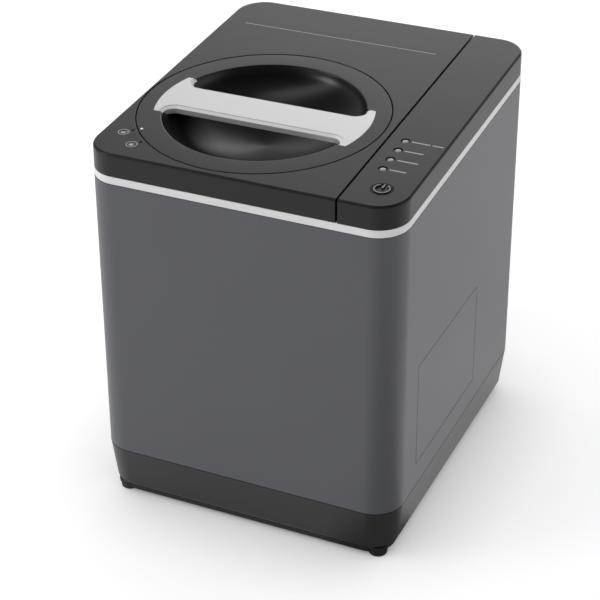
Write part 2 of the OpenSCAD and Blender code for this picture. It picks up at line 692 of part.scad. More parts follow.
module grinder_rotor() color("#a9acb0") at_well() difference() {
    union() {
        translate([0, 0, bucket_z + 0.5]) cylinder(h = collar_h + 4, r = journal_r);
        translate([0, 0, bucket_z + collar_h + 0.6]) rotate_extrude()
            polygon([[0, 0], [journal_r + 7, 0], [journal_r + 7, arm_h - 2], [journal_r + 1, arm_h + 5],
            [journal_r - 1, hub_h - 8], [journal_r - 4, hub_h - 2], [journal_r - 8, hub_h], [0, hub_h]]);
        // Bottom arm, cranked down over the floor round the collar
        intersection() {
            translate([0, 0, arm_z]) arm_blade();
            translate([0, 0, arm_z - 1]) tube(arm_r + 5, journal_r + 7, arm_h + 2);
        }
        translate([journal_r + 7.2, -arm_w / 2 - 2, arm_z])
            cube([8, arm_w + 4, bucket_z + collar_h + 0.6 + arm_h - 2 - arm_z]);
        translate([0, -arm_w / 2 - 2, bucket_z + collar_h + 0.6])
            cube([journal_r + 10, arm_w + 4, arm_h - 2]);
        for (i = [1:2]) translate([0, 0, arm_z + i * arm_pitch]) rotate(i * 120) arm_blade();
    }
    translate([0, 0, bucket_z - 1]) cylinder(h = 1 + dog_h + 1, r = dog_r + 0.4, $fn = 6);
}

// Filters, fan and duct
module filter_bay() color("#2e2f31") difference() {
    union() {
        difference() {
            translate([bay_x0, bay_y0, cover_z0]) cube([bay_x1 - bay_x0, bay_y1 - bay_y0,
                bay_z1 - cover_z0]);
            translate([bay_x0 + bay_wall, bay_y0 + bay_wall, cover_z0 + bay_wall])
                cube([bay_depth, bay_y1 - bay_y0 - 2 * bay_wall, bay_z1 - cover_z0 - 2 * bay_wall]);
        }
        // Rails under and over each cartridge
        for (s = [-1, 1], t = [-1, 1], z = [cover_z0 + bay_wall - 0.5, bay_z1 - bay_wall - rail_h])
            translate([bay_x0 + 1, bay_mid + s * (cart_w + cart_gap) / 2 + t * cart_w / 4 - 1.5, z])
                cube([bay_depth - 4, 3, rail_h + 0.5]);
        for (x = [bay_x0 + 8, bay_x1 - 16], y = [bay_y0 + 8, bay_y1 - 8]) translate([x, y, floor_z])
            cylinder(h = cover_z0 - floor_z + 1, r = 5);
    }
    translate([fan_x, bay_y1 - bay_wall - 1, fan_z]) rotate([-90, 0, 0])
        cylinder(h = bay_wall + 2, r = fan_r);
    translate([duct_x - duct_w / 2 + 2 * duct_wall, well_y - duct_l / 2 + 2 * duct_wall,
        bay_z1 - bay_wall - 1])
        cube([duct_w - 4 * duct_wall, duct_l - 4 * duct_wall, bay_wall + 2]);
}
module filter_cover() color("#6f7072") union() {
    difference() {
        cover_hole(seam * 0.75);
        translate([0, -body_d / 2, 0]) cube([body_w / 2 - cover_t, body_d, body_h]);
        translate([body_w / 2, -body_d / 2, 0]) cube([20, body_d, body_h]);
    }
    for (s = [-1, 1], z = [cover_z0 + bay_wall + 0.5, bay_z1 - bay_wall - 2.3])
        translate([bay_x1 - 9, bay_mid + s * cart_w / 2 - 6, z])
            cube([body_w / 2 - cover_t - bay_x1 + 9.5, 12, 1.8]);
}
module cartridge() {
    difference() {
        translate([cart_x0, -cart_w / 2, cart_z0]) cube([cart_x1 - cart_x0, cart_w, cart_h]);
        for (i = [-3:3]) translate([cart_x1 - 1.6, i * 8 - 2.4, cart_z0 + 8]) cube([4, 4.8, cart_h - 34]);
        for (i = [-3:3]) translate([cart_x0 - 2.4, i * 8 - 2.4, cart_z0 + 8]) cube([4, 4.8, cart_h - 16]);
        for (s = [-1, 1]) translate([cart_x0 + 8, s * cart_w / 2 - 1, cart_z0 + 8])
            cube([cart_x1 - cart_x0 - 20, 2, cart_h - 16]);
    }
    // Pull tab
    translate([cart_x1 - 1, -12, cart_z0 + cart_h - 17]) cube([3.2, 24, 3]);
}
module filter_cartridge_front() color("#26282a") translate([0, bay_mid - (cart_w + cart_gap) / 2, 0])
    cartridge();
module filter_cartridge_rear() color("#26282a") translate([0, bay_mid + (cart_w + cart_gap) / 2, 0])
    cartridge();
// Places children on the fan's axis, which points to the back
module at_fan() translate([fan_x, fan_y0, fan_z]) rotate([-90, 0, 0]) children();
module fan_housing() color("#1c1d1e") difference() {
    union() {
        at_fan() translate([-fan_r - 5, -fan_r - 5, 0]) cube([2 * fan_r + 10, 2 * fan_r + 10, fan_deep]);
        at_fan() translate([0, 0, -fan_y]) cylinder(h = fan_y + 1, r = fan_r + fan_tip_gap + 2);
        for (s = [-1, 1]) translate([fan_x + s * (fan_r - 10), fan_y0 + fan_deep / 2, floor_z])
            cylinder(h = fan_z - fan_r - floor_z - 4, r = 5);
    }
    difference() {
        at_fan() translate([0, 0, -fan_y - 1]) cylinder(h = fan_y + fan_deep + 2, r = fan_r + fan_tip_gap);
        at_fan() translate([0, 0, fan_deep - spoke_t]) cylinder(h = spoke_t, r = fan_hub_r);
        at_fan() cylinder(h = fan_deep, r = fan_pin_r);
        for (i = [0:3]) at_fan() rotate(i * 90 + 45)
            translate([fan_hub_r - 3, -spoke_w / 2, fan_deep - spoke_t]) cube([fan_r, spoke_w, spoke_t]);
    }
}
module fan_impeller() color("#303234") at_fan() difference() {
    union() {
        translate([0, 0, fan_lip]) cylinder(h = fan_hub_h, r = fan_hub_r);
        intersection() {
            translate([0, 0, fan_lip + 0.5]) cylinder(h = fan_hub_h - 1, r = fan_r);
            union() for (i = [0:fan_n - 1]) rotate(i * 360 / fan_n)
                translate([fan_hub_r - 2, 0, fan_lip + fan_hub_h / 2]) rotate([blade_tilt, 0, 0])
                    translate([0, -blade_t / 2, -fan_deep / 2]) cube([fan_r, blade_t, fan_deep]);
        }
    }
    translate([0, 0, -1]) cylinder(h = fan_deep + 2, r = fan_pin_r + run_fit);
}
module air_duct() color("#4c4e50") difference() {
    union() {
        translate([duct_x - duct_w / 2, well_y - duct_l / 2, bay_z1])
            cube([duct_w, duct_l, duct_top - bay_z1]);
        translate([well_x, well_y, port_z]) rotate([0, 90, 0])
            cylinder(h = duct_x - duct_w / 2 + duct_wall / 2 - well_x, r = port_r + duct_wall);
    }
    translate([duct_x - duct_w / 2 + duct_wall, well_y - duct_l / 2 + duct_wall, bay_z1 - 1])
        cube([duct_w - 2 * duct_wall, duct_l - 2 * duct_wall, duct_top - duct_wall - bay_z1 + 1]);
    translate([well_x, well_y, port_z]) rotate([0, 90, 0])
        cylinder(h = duct_x - duct_w / 2 + 2 * duct_wall - well_x, r = port_r);
    at_well() cylinder(h = body_h + 50, r = well_side + 0.1);
}

// Back
module at_back_screws() for (s = [-1, 1], z = [back_z0 + back_screw_in, (back_z0 + back_z1) / 2,
    back_z1 - back_screw_in])
    translate([s * (back_w / 2 - back_screw_in), back_y, z]) rotate([90, 0, 0]) children();
module louvres(x0, z0, n) for (i = [0:n - 1]) translate([x0, back_y - 6, z0 + i * slot_pitch])
    rotate([30, 0, 0]) cube([slot_len, 14, slot_h]);
module rear_panel() color("#2c2d2f") difference() {
    union() {
        on_back(back_y - 4, back_y) back_plan(seam * 0.75);
        on_back(back_y - 4, back_y - wrap_t - 0.2) back_plan(-4);
    }
    louvres(back_w / 2 - slot_edge - slot_len, back_z0 + 12, fan_slots);
    louvres(-back_w / 2 + slot_edge, back_z1 - 20 - top_slots * slot_pitch, top_slots);
    at_back_screws() {
        translate([0, 0, -1]) cylinder(h = 3, r = screw_head_r + 0.2);
        translate([0, 0, -1]) cylinder(h = back_screw_l, r = screw_r + 0.2);
    }
    translate([inlet_x - inlet_w / 2 - inlet_gap, back_y - 8, inlet_z - inlet_h / 2 - inlet_gap])
        cube([inlet_w + 2 * inlet_gap, 12, inlet_h + 2 * inlet_gap]);
}
module rear_screws() color("#8c8c8c") at_back_screws() union() {
    translate([0, 0, 0.3]) cylinder(h = 1.7, r = screw_head_r);
    translate([0, 0, 1]) cylinder(h = back_screw_l, r = screw_r);
}
module power_inlet() color("#121212") translate([inlet_x, back_y, inlet_z]) union() {
    difference() {
        translate([-inlet_w / 2, -inlet_d - 0.4, -inlet_h / 2]) cube([inlet_w, inlet_d, inlet_h]);
        translate([-inlet_w / 2 + 2, -inlet_d + 4.6, -inlet_h / 2 + 2])
            cube([inlet_w - 4, inlet_d, inlet_h - 4]);
    }
    for (p = [[-7, -2.5], [0, 2], [7, -2.5]]) translate([p[0] - 1, -inlet_d + 3.6, p[1] - 2])
        cube([2, 12.6, 4]);
}

// Caps on the sloping top
module cap_solid(z0) hull() {
    slice(z0, cap_inset);
    for (a = [0:22.5:90]) slice(-cap_edge_r * (1 - sin(a)) - 0.01, cap_inset + cap_edge_r * (1 - cos(a)));
}
module cap_hollow() hull() {
    slice(cap_z - 2, cap_inset + cap_wall);
    slice(-cap_wall, cap_inset + cap_wall);
}
module left_of(x) translate([x - big, -big / 2, -big / 2]) cube(big);
module right_of(x) translate([x, -big / 2, -big / 2]) cube(big);
module lid_cover() color("#47484a") on_top() difference() {
    union() {
        difference() {
            intersection() {
                cap_solid(cap_z);
                left_of(lid_edge);
            }
            intersection() {
                cap_hollow();
                left_of(lid_edge - cap_wall);
            }
        }
        translate([dial_x, dial_y, ledge_z0]) cylinder(h = -ledge_z0 - 1, r = dial_r + dial_gap + 1.8);
    }
    translate([dial_x, dial_y, ledge_z1]) cylinder(h = 20, r = dial_r + dial_gap);
    translate([dial_x, dial_y, cap_z - 1]) cylinder(h = 40, r = dial_r - 8);
    for (a = [0, lock_turn]) translate([dial_x, dial_y, -0.6]) rotate(mark_angle + a)
        translate([dial_r + 4.4, 0, 0]) cylinder(h = 2, r = 1.2);
}
module lid_liner() color("#2a2a2b") on_top() difference() {
    intersection() {
        translate([0, cap_z * tan(top_slope), cap_z]) linear_extrude(liner_plate_t)
            plan(body_w - 2 * (cap_inset + cap_wall + 0.3), top_d - 2 * (cap_inset + cap_wall + 0.3),
                corner_r - cap_inset - cap_wall);
        left_of(lid_edge - cap_wall - 0.3);
    }
    translate([dial_x, dial_y, cap_z - 1]) cylinder(h = 10, r = mouth_r + 1.5);
    translate([dial_x, dial_y, cap_z - 1]) tube(seal_r + 2.6, seal_r - 2.6, 2);
}
module lid_seal() color("#141414") at_dial() rotate_extrude()
    polygon([[seal_r - 2.5, cap_z + 1], [seal_r - 2.5, cap_z - 0.2], [seal_r - 1, deck_z1],
        [seal_r + 1, deck_z1], [seal_r + 2.5, cap_z - 0.2], [seal_r + 2.5, cap_z + 1]]);

// Dial
function bowl_curve(r, d, n) = [for (i = [0:n]) let(a = i * 90 / n) [r * pow(cos(a), 1.4), -d * sin(a)]];
bowl_in = [for (p = bowl_curve(bowl_r, bowl_depth, 20)) if (p[1] < -1.3) p];
bowl_out = [for (p = bowl_curve(bowl_r + bowl_wall, bowl_depth + bowl_wall, 20)) if (p[1] < -dial_t - 0.3)
    p];
module dial() color("#4b4c4e") at_dial() difference() {
    rotate_extrude() polygon(concat([[dial_r, -0.6], [dial_r - 0.6, 0], [bowl_r + 1.3, 0],
        [bowl_r + 0.4, -0.4], [bowl_r, -1.3]], bowl_in,
        [for (i = [len(bowl_out) - 1:-1:0]) bowl_out[i]],
        [[bowl_r + bowl_wall, -dial_t], [dial_r - 4, -dial_t], [dial_r - 4, ledge_z1 + 0.2],
            [dial_r, ledge_z1 + 0.2]]));
    translate([0, 0, -bar_end_t]) linear_extrude(bar_end_t + 2) intersection() {
        difference() {
            circle(bar_end_r + 0.15);
            circle(bowl_r - 4);
        }
        square([3 * bar_end_r, 2 * bar_end_w + 0.3], center = true);
    }
    rotate(mark_angle) translate([dial_r - 2.9, 0, -1.5]) cylinder(h = 4, r = 1.3);
}
// One of the bowl's two openings beside the bar, with rounded corners
module half_moon() union() {
    intersection() {
        circle(bowl_r);
        translate([-bowl_r, moon_y]) square(2 * bowl_r);
    }
    polygon([[-moon_x, moon_y], [-fillet_x, fillet_y], [-fillet_x, bar_w / 2],
        [fillet_x, bar_w / 2], [fillet_x, fillet_y], [moon_x, moon_y]]);
    for (s = [-1, 1]) translate([s * fillet_x, fillet_y]) circle(bar_fillet);
}
module bar_plan() difference() {
    intersection() {
        circle(bar_end_r);
        square([3 * bar_end_r, 2 * bar_end_w], center = true);
    }
    half_moon();
    rotate(180) half_moon();
}
// What a rounding takes off a square edge that stands at a distance from an axis
module edge_waste(x) polygon(concat([for (a = [0:22.5:90])
        [x + bar_edge_r * (1 - cos(a)), -bar_edge_r * (1 - sin(a))]],
    [[x + bar_edge_r, 1], [x - 1, 1], [x - 1, -bar_edge_r]]));
// The rounding along one opening: the straight edge, its corners and the arc up to the bar's ends
module moon_rounding() union() {
    translate([-fillet_x - 0.05, 0, 0]) rotate([90, 0, 90]) linear_extrude(2 * fillet_x + 0.1)
        mirror([1, 0]) edge_waste(-bar_w / 2);
    for (m = [0, 1]) mirror([m, 0, 0]) {
        translate([fillet_x, fillet_y, 0]) rotate(-90)
            rotate_extrude(angle = 90 + fillet_dir) edge_waste(bar_fillet);
        rotate(fillet_dir - 0.2) rotate_extrude(angle = bar_end_dir + 3.2 - fillet_dir) edge_waste(bowl_r);
    }
}
module handle_bar() color("#d8d8d6") at_dial() difference() {
    union() {
        translate([0, 0, -bar_end_t]) linear_extrude(bar_end_t) bar_plan();
        // The bridge over the bowl, clear of the bowl's wall
        intersection() {
            translate([0, 0, -bar_t]) linear_extrude(bar_t) bar_plan();
            rotate_extrude() polygon(concat([[0, 1], [bowl_r - bar_slip, 1]],
                bowl_curve(bowl_r - bar_slip, bowl_depth - bar_slip, 20)));
        }
    }
    moon_rounding();
    rotate(180) moon_rounding();
}
module lock_ring() color("#303133") at_dial() union() {
    translate([0, 0, ring_z0]) tube(lock_ring_r, lock_ring_r - 2.9, -dial_t - ring_z0);
    translate([0, 0, ring_z0]) tube(lock_ring_r - 2, shield_r, 2);
    translate([0, 0, -dial_t - 3]) tube(lock_ring_r - 2, bowl_r + bowl_wall + 0.4, 3);
    for (i = [0:lug_n - 1]) translate([0, 0, lug_z0])
        sector(lock_ring_r - 1, lug_r, lug_dir(i), lug_angle, lug_t);
}
module heat_shield() color("#aeb1b5") at_dial() rotate_extrude()
    polygon([[0, -plug_depth], [shield_r - 3, -plug_depth], [shield_r - 0.8, -plug_depth + 0.8],
    [shield_r, -plug_depth + 3],
    [shield_r, ring_z0 + 2], [shield_r - 1.2, ring_z0 + 2], [shield_r - 1.2, -plug_depth + 3.4],
        [shield_r - 3.2, -plug_depth + 1.2], [0, -plug_depth + 1.2]]);
module dial_mark() color("#f2f2f2") at_dial() rotate(mark_angle) translate([dial_r - 2.9, 0, -1.5])
    cylinder(h = 1.7, r = 1.3);

// Console
module at_lamps() on_top() for (i = [0:3]) translate([lamp_x, lamp_y - i * lamp_pitch, 0]) children();
module at_button() on_top() translate([button_x, button_y, 0]) children();
module console_cover() color("#47484a") difference() {
    on_top() union() {
        difference() {
            intersection() {
                cap_solid(band_z1);
                right_of(console_l);
            }
            intersection() {
                cap_hollow();
                right_of(console_l + cap_wall);
            }
        }
        for (x = [board_x0 + 4, board_x1 - 4], y = [board_y0 + 4, board_y1 - 4])
            translate([x, y, board_z + board_t]) cylinder(h = -board_z - board_t - 1, r = 3);
    }
    at_lamps() {
        translate([0, 0, -cap_wall - 1]) cylinder(h = 10, r = lamp_r);
        translate([0, 0, -lamp_sink]) cylinder(h = 10, r = lamp_r + lamp_rim);
    }
    at_button() translate([0, 0, -cap_wall - 1]) cylinder(h = 10, r = button_r + 0.25);
}
module led_lenses() color("#b9b9b2") at_lamps() union() {
    translate([0, 0, -cap_wall - 3]) cylinder(h = cap_wall + 3 - lamp_sink + 0.2, r = lamp_r);
    translate([0, 0, -cap_wall - 1]) cylinder(h = 1, r = lamp_r + 0.9);
}
module control_board() color("#1f4d38") union() {
    on_top() translate([board_x0, board_y0, board_z])
        cube([board_x1 - board_x0, board_y1 - board_y0, board_t]);
    at_lamps() translate([0, 0, board_z + board_t - 0.2]) cylinder(h = 3, r = 1.5);
    at_button() translate([-switch_w / 2, -switch_w / 2, board_z + board_t - 0.2])
        cube([switch_w, switch_w, -button_foot_z - button_travel - 0.3 - board_z - board_t]);
    on_top() translate([board_x1 - 16, board_y1 - 26, board_z - 6]) cube([11, 20, 7]);
    on_top() for (i = [0:2]) translate([board_x0 + 7 + 8 * i, board_y1 - 16, board_z - 8])
        cylinder(h = 9, r = 3);
}
module power_button() color("#515254") at_button() union() {
    translate([0, 0, -3]) cylinder(h = 3, r = button_r);
    translate([0, 0, -4]) cylinder(h = 4 - cap_wall - 0.1, r = button_r + 1.4);
    translate([0, 0, -button_foot_z]) cylinder(h = 2, r = 2.4);
    // Raised sign: a ring open at the back with a bar through the opening
    translate([0, 0, -0.1]) rotate(90 + sign_gap) rotate_extrude(angle = 360 - 2 * sign_gap)
        translate([button_r - 0.2 - sign_w, 0]) square([sign_w, sign_h + 0.1]);
    translate([-sign_w / 2, 1.6, -0.1]) cube([sign_w, button_r - 1.8, sign_h + 0.1]);
}

rubber_feet();
foot_screws();
bottom_plate();
base_skirt();
frame_pillars();
body_wrap();
trim_band();
top_deck();
well_liner();
heater_plate();
insulation();
gearbox_base();
gearbox_cover();
drive_motor();
filter_bay();
fan_housing();
air_duct();
rear_panel();
rear_screws();
power_inlet();
console_cover();
led_lenses();
control_board();
lid_cover();
lid_liner();
lid_seal();
dial();
handle_bar();
lock_ring();
heat_shield();
dial_mark();
bucket();
bucket_combs();
bail_handle();
grinder_rotor();
drive_shaft();
output_gear();
idler_gear();
motor_pinion();
power_button();
filter_cover();
filter_cartridge_front();
filter_cartridge_rear();
fan_impeller();
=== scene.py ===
"""The looks of the electric food waste composter, piece by piece, in the order it is put together."""

import json
from math import asin, atan2, cos, pi, radians, sin, sqrt

import bmesh
import bpy
from mathutils import Matrix, Vector


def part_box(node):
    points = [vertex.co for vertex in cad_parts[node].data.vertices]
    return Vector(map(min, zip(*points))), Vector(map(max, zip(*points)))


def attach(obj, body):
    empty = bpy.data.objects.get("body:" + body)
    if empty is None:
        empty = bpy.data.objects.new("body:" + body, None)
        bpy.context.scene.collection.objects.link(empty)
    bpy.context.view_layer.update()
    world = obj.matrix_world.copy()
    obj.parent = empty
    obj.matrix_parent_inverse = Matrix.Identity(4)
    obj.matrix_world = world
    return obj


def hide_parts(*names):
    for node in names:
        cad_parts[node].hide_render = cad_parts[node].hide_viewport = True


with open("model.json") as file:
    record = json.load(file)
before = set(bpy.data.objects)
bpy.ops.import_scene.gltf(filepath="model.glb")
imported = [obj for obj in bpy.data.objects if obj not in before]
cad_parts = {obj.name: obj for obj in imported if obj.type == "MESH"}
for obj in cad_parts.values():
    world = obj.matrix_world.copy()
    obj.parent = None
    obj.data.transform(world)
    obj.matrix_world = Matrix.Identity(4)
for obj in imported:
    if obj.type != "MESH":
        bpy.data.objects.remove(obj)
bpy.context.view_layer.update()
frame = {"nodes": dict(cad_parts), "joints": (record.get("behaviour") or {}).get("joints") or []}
joints = {joint["name"]: joint for joint in frame["joints"]}
MM = 0.001

# The camera.
# It stands in front of the low edge, a little to the right and above, with the
# long lens of a product picture. The picture's centre is not the lens's centre.
EYE = Vector((577.7, -1309.5, 983.4)) * MM
RIGHT = Vector((0.916065, 0.401028, 0.001516))
DOWN = Vector((0.188771, -0.427866, -0.883910))
FORWARD = Vector((-0.353824, 0.810005, -0.467655))
PICTURE = 600
FOCAL_PIXELS = 1818.4
LENS_CENTRE = (321.95, 222.03)

camera = bpy.data.objects.new("camera", bpy.data.cameras.new("camera"))
bpy.context.scene.collection.objects.link(camera)
camera.matrix_world = Matrix.Translation(EYE) @ Matrix((RIGHT, -DOWN, -FORWARD)).transposed().to_4x4()
camera.data.sensor_width = 36
camera.data.lens = FOCAL_PIXELS / PICTURE * camera.data.sensor_width
camera.data.shift_x = (PICTURE / 2 - LENS_CENTRE[0]) / PICTURE
camera.data.shift_y = (LENS_CENTRE[1] - PICTURE / 2) / PICTURE
camera.data.clip_start = 0.05
bpy.context.scene.camera = camera


# The studio.
# A white cove all round, darker in front on the right, with one broad soft lamp
# in front on the left. Only gloss sees the flags and the strip in the cove, a dark
# patch of floor towards the front right and a brighter one by the right side.
class Wire:
    """A socket among a material's nodes. Sums on it add Math nodes, and node() adds any other node."""

    def __init__(self, tree, socket):
        self.tree = tree
        self.socket = socket

    def node(self, kind, settings=None, values=None, output=0):
        made = self.tree.nodes.new("ShaderNode" + kind)
        for name, value in (settings or {}).items():
            setattr(made, name, value)
        for name, value in (values or {}).items():
            join(self.tree, value, made.inputs[name])
        return Wire(self.tree, made.outputs[output])

    def sum(self, operation, first, second):
        return self.node("Math", {"operation": operation}, {0: first, 1: second})

    def __add__(self, other):
        return self.sum("ADD", self, other)

    def __sub__(self, other):
        return self.sum("SUBTRACT", self, other)

    def __rsub__(self, other):
        return self.sum("SUBTRACT", other, self)

    def __mul__(self, other):
        return self.sum("MULTIPLY", self, other)

    def __truediv__(self, other):
        return self.sum("DIVIDE", self, other)

    def __pow__(self, other):
        return self.sum("POWER", self, other)

    __radd__ = __add__
    __rmul__ = __mul__


def join(tree, value, socket):
    """Links a wire to a socket, or sets the socket to a plain value."""
    if isinstance(value, Wire):
        tree.links.new(value.socket, socket)
    else:
        socket.default_value = value


def grey(level):
    return (level, level, level, 1)


def blend_colour(factor, low, high):
    return factor.node("Mix", {"data_type": "RGBA"}, {0: factor, 6: low, 7: high}, 2)


def dot(wire, direction):
    return wire.node("VectorMath", {"operation": "DOT_PRODUCT"}, {0: wire, 1: direction}, 1)


def ramp(wire, low, high, start, end):
    """Goes smoothly from start to end as a wire goes from low to high."""
    values = {0: wire, 1: low, 2: high, 3: start, 4: end}
    return wire.node("MapRange", {"interpolation_type": "SMOOTHSTEP"}, values)


def ray(tree, kind):
    """One for a kind of ray, such as Camera or Glossy, and nothing for the others."""
    return Wire(tree, tree.nodes.new("ShaderNodeLightPath").outputs[f"Is {kind} Ray"])


def shown(tree):
    """One for what the camera sees, also in gloss and through glass, and nothing for the light itself."""
    seen = ray(tree, "Camera")
    return seen.sum("MAXIMUM", seen.sum("MAXIMUM", seen, ray(tree, "Glossy")), ray(tree, "Transmission"))


FLOOR_SIZE = 30
FLOOR_WHITE = 0.8
FLOOR_LIFT = 0.44
FLOOR_NEAR = 0.08
FLOOR_SHADE = 0.6
PATCH_PLACE = Vector((0.06, -0.08, 0))
FLAG_SIDE = Vector((0.76, -0.65, 0))
FLAG = 0.72
FLAG_GREY = 0.02
FILL_SIDE = Vector((0.75, 0.66, 0))
FILL = 0.2
COVE = 0.92
COVE_DIM = 0.3
DIM_SIDE = Vector((0.75, -0.62, 0))
UP = Vector((0, 0, 1))
CEILING = 0.1
CAMERA_SIDE = 0.1
BACK_SIDE = Vector((-0.15, 0.95, 0.2))
BACK = 2.6
LEFT_SIDE = Vector((-1, 0, 0.2))
LEFT = 0.35
RIGHT_SIDE = Vector((0.4, 0.8, 0.42))
RIGHT = 0.25
STRIP = Vector((-0.62, -0.3, 0.72))
STRIP_SIDE = Vector((0.58, -0.72, 0.25))
STRIP_GLOW = 2

world = bpy.data.worlds.new("studio")
world.use_nodes = True
bpy.context.scene.world = world
sky = world.node_tree
sky_place = Wire(sky, sky.nodes.new("ShaderNodeTexCoord").outputs["Generated"])


def fade(direction, low, high, bottom):
    """Falls from one to a level as the sky turns towards a direction, between two cosines."""
    return ramp(dot(sky_place, direction.normalized()), low, high, 1.0, bottom)


sky_level = COVE * fade(DIM_SIDE, 0.1, 0.95, COVE_DIM / COVE)
sky_mirrored = fade(UP, 0.3, 0.8, CEILING) * fade(-FORWARD, 0.45, 0.85, CAMERA_SIDE)
sky_mirrored = sky_mirrored * fade(BACK_SIDE, 0.84, 0.99, BACK) * fade(LEFT_SIDE, 0.5, 0.9, LEFT)
sky_mirrored = sky_mirrored * fade(RIGHT_SIDE, 0.87, 0.97, RIGHT)
strip_light = fade(STRIP_SIDE, 0.03, 0.15, 0) * fade(-STRIP_SIDE, 0.03, 0.15, 0)
strip_light = strip_light * (1 - fade(STRIP, 0.6, 0.85, 0))
sky_mirrored = sky_mirrored + strip_light * STRIP_GLOW
sky_seen = sky_level + ray(sky, "Glossy") * (sky_mirrored - sky_level)
join(sky, sky_seen + ray(sky, "Camera") * (1 - sky_seen), sky.nodes["Background"].inputs["Strength"])
sky.nodes["Background"].inputs["Color"].default_value = grey(1)

bpy.ops.mesh.primitive_plane_add(size=FLOOR_SIZE)
floor = bpy.context.object
floor.name = "floor"
floor_finish = bpy.data.materials.new("floor white")
floor_finish.use_nodes = True
floor.data.materials.append(floor_finish)
tree = floor_finish.node_tree
floor_shader = tree.nodes["Principled BSDF"]
floor_shader.inputs["Roughness"].default_value = 1
floor_shader.inputs["Specular IOR Level"].default_value = 0
floor_shader.inputs["Emission Color"].default_value = grey(1)
spot = Wire(tree, tree.nodes.new("ShaderNodeTexCoord").outputs["Object"])
spot = spot.node("VectorMath", {"operation": "SUBTRACT"}, {0: spot, 1: PATCH_PLACE})
away = spot.node("VectorMath", {"operation": "LENGTH"}, {0: spot}, 1)


def patch(side, aim, reach, beyond):
    """A patch of floor in gloss alone, towards a side, between two cosines and two distances in metres."""
    aimed = ramp(dot(spot, side) / away, *aim, 0.0, 1.0)
    return aimed * ramp(away, *reach, 1.0, beyond) * ray(tree, "Glossy")


flag = patch(FLAG_SIDE, (0.7, 0.95), (0.3, 0.9), 0.2) * FLAG
fill = patch(FILL_SIDE, (0.5, 0.8), (0.18, 0.42), 0.0) * FILL
join(tree, blend_colour(flag, grey(FLOOR_WHITE), grey(FLAG_GREY)), floor_shader.inputs["Base Color"])
# Ambient occlusion dims the floor's lift near the object: a painted contact shadow, seen by the camera and
# in gloss.
painted_contact_shadow = spot.node("AmbientOcclusion", {}, {"Distance": FLOOR_NEAR}, "AO")
lift = shown(tree) * painted_contact_shadow ** FLOOR_SHADE * (1 - flag) * FLOOR_LIFT + fill
join(tree, lift, floor_shader.inputs["Emission Strength"])

SOFT_PLACE = Vector((-2.2, -1.6, 1.5))
SOFT_AIM = Vector((0, 0, 0.2))
SOFT_SIZE = 1.2
SOFT_POWER = 12

soft = bpy.data.lights.new("left lamp", "AREA")
soft.shape = "DISK"
soft.size = SOFT_SIZE
soft.energy = SOFT_POWER
lamp = bpy.data.objects.new("left lamp", soft)
bpy.context.scene.collection.objects.link(lamp)
lamp.location = SOFT_PLACE
lamp.rotation_mode = "QUATERNION"
lamp.rotation_quaternion = (SOFT_AIM - SOFT_PLACE).to_track_quat("-Z", "Y")
bpy.context.scene.view_settings.view_transform = "Standard"


# Rubber feet and their screws.
# Four feet of black moulded rubber stand under the corners, each held by a
# screw from below that runs up into a frame pillar.
def new_finish(name):
    """An empty material and the wire of the piece's own coordinates in it."""
    material = bpy.data.materials.new(name)
    material.use_nodes = True
    coordinates = material.node_tree.nodes.new("ShaderNodeTexCoord")
    return material, Wire(material.node_tree, coordinates.outputs["Object"])


def give(material, **values):
    """Sets or links sockets of the material's shader; an underscore stands for a space."""
    shader = material.node_tree.nodes["Principled BSDF"]
    for name, value in values.items():
        join(material.node_tree, value, shader.inputs[name.replace("_", " ")])


def noise(place, size, detail=2, roughness=0.5, stretch=(1, 1, 1)):
    """Noise whose features are about a size in metres, drawn out along an axis by a small stretch."""
    spread = place.node("Mapping", {}, {"Vector": place, "Scale": stretch})
    values = {"Vector": spread, "Scale": 1 / size, "Detail": detail, "Roughness": roughness}
    return spread.node("TexNoise", {}, values)


def bump(height, distance, strength=1.0):
    return height.node("Bump", {}, {"Strength": strength, "Distance": distance, "Height": height})


def tone(colour, factor):
    return tuple(min(1, part * factor) for part in colour[:3]) + (1,)


def moulded(name, colour, roughness, grain=0.7 * MM, depth=0.02 * MM, coat=0.0, shine=0.5):
    """Moulded plastic: an even colour with a faint cloud in it and a fine eroded grain."""
    material, place = new_finish(name)
    cloud = noise(place, 60 * MM, 3)
    sparks = noise(place, grain, 3, 0.6)
    give(
        material,
        Base_Color=blend_colour(cloud, tone(colour, 0.88), tone(colour, 1.12)),
        Roughness=roughness - 0.05 + sparks * 0.06 + cloud * 0.04,
        Normal=bump(sparks, depth, 0.5),
        Coat_Weight=coat,
        Coat_Roughness=0.25,
        Specular_IOR_Level=shine,
    )
    return material


def dress(material, *nodes):
    """Gives CAD nodes a finish."""
    for name in nodes:
        for slot in frame["nodes"][name].material_slots:
            slot.material = material


def metal(name, colour, roughness, grain=0.4 * MM, stretch=(1, 1, 1), depth=0.01 * MM, mottle=0.15):
    """Bare metal: fine lines or grain in the roughness and the height, and a faint mottle."""
    material, place = new_finish(name)
    lines = noise(place, grain, 4, 0.6, stretch)
    patches = noise(place, 25 * MM, 3)
    give(
        material,
        Base_Color=blend_colour(patches, tone(colour, 1 - mottle), tone(colour, 1 + mottle / 2)),
        Metallic=1.0,
        Roughness=roughness - 0.08 + lines * 0.12 + patches * 0.05,
        Normal=bump(lines, depth, 0.6),
    )
    return material


def take(piece):
    """Makes a piece the only one selected."""
    bpy.ops.object.select_all(action="DESELECT")
    piece.select_set(True)
    bpy.context.view_layer.objects.active = piece


def block(name, low, high):
    """A block between two corners, in millimetres, with its place in its mesh."""
    bpy.ops.object.select_all(action="DESELECT")
    low = Vector(low) * MM
    high = Vector(high) * MM
    bpy.ops.mesh.primitive_cube_add(size=1, location=(low + high) / 2)
    piece = bpy.context.object
    piece.name = name
    piece.scale = high - low
    bpy.ops.object.transform_apply()
    return piece


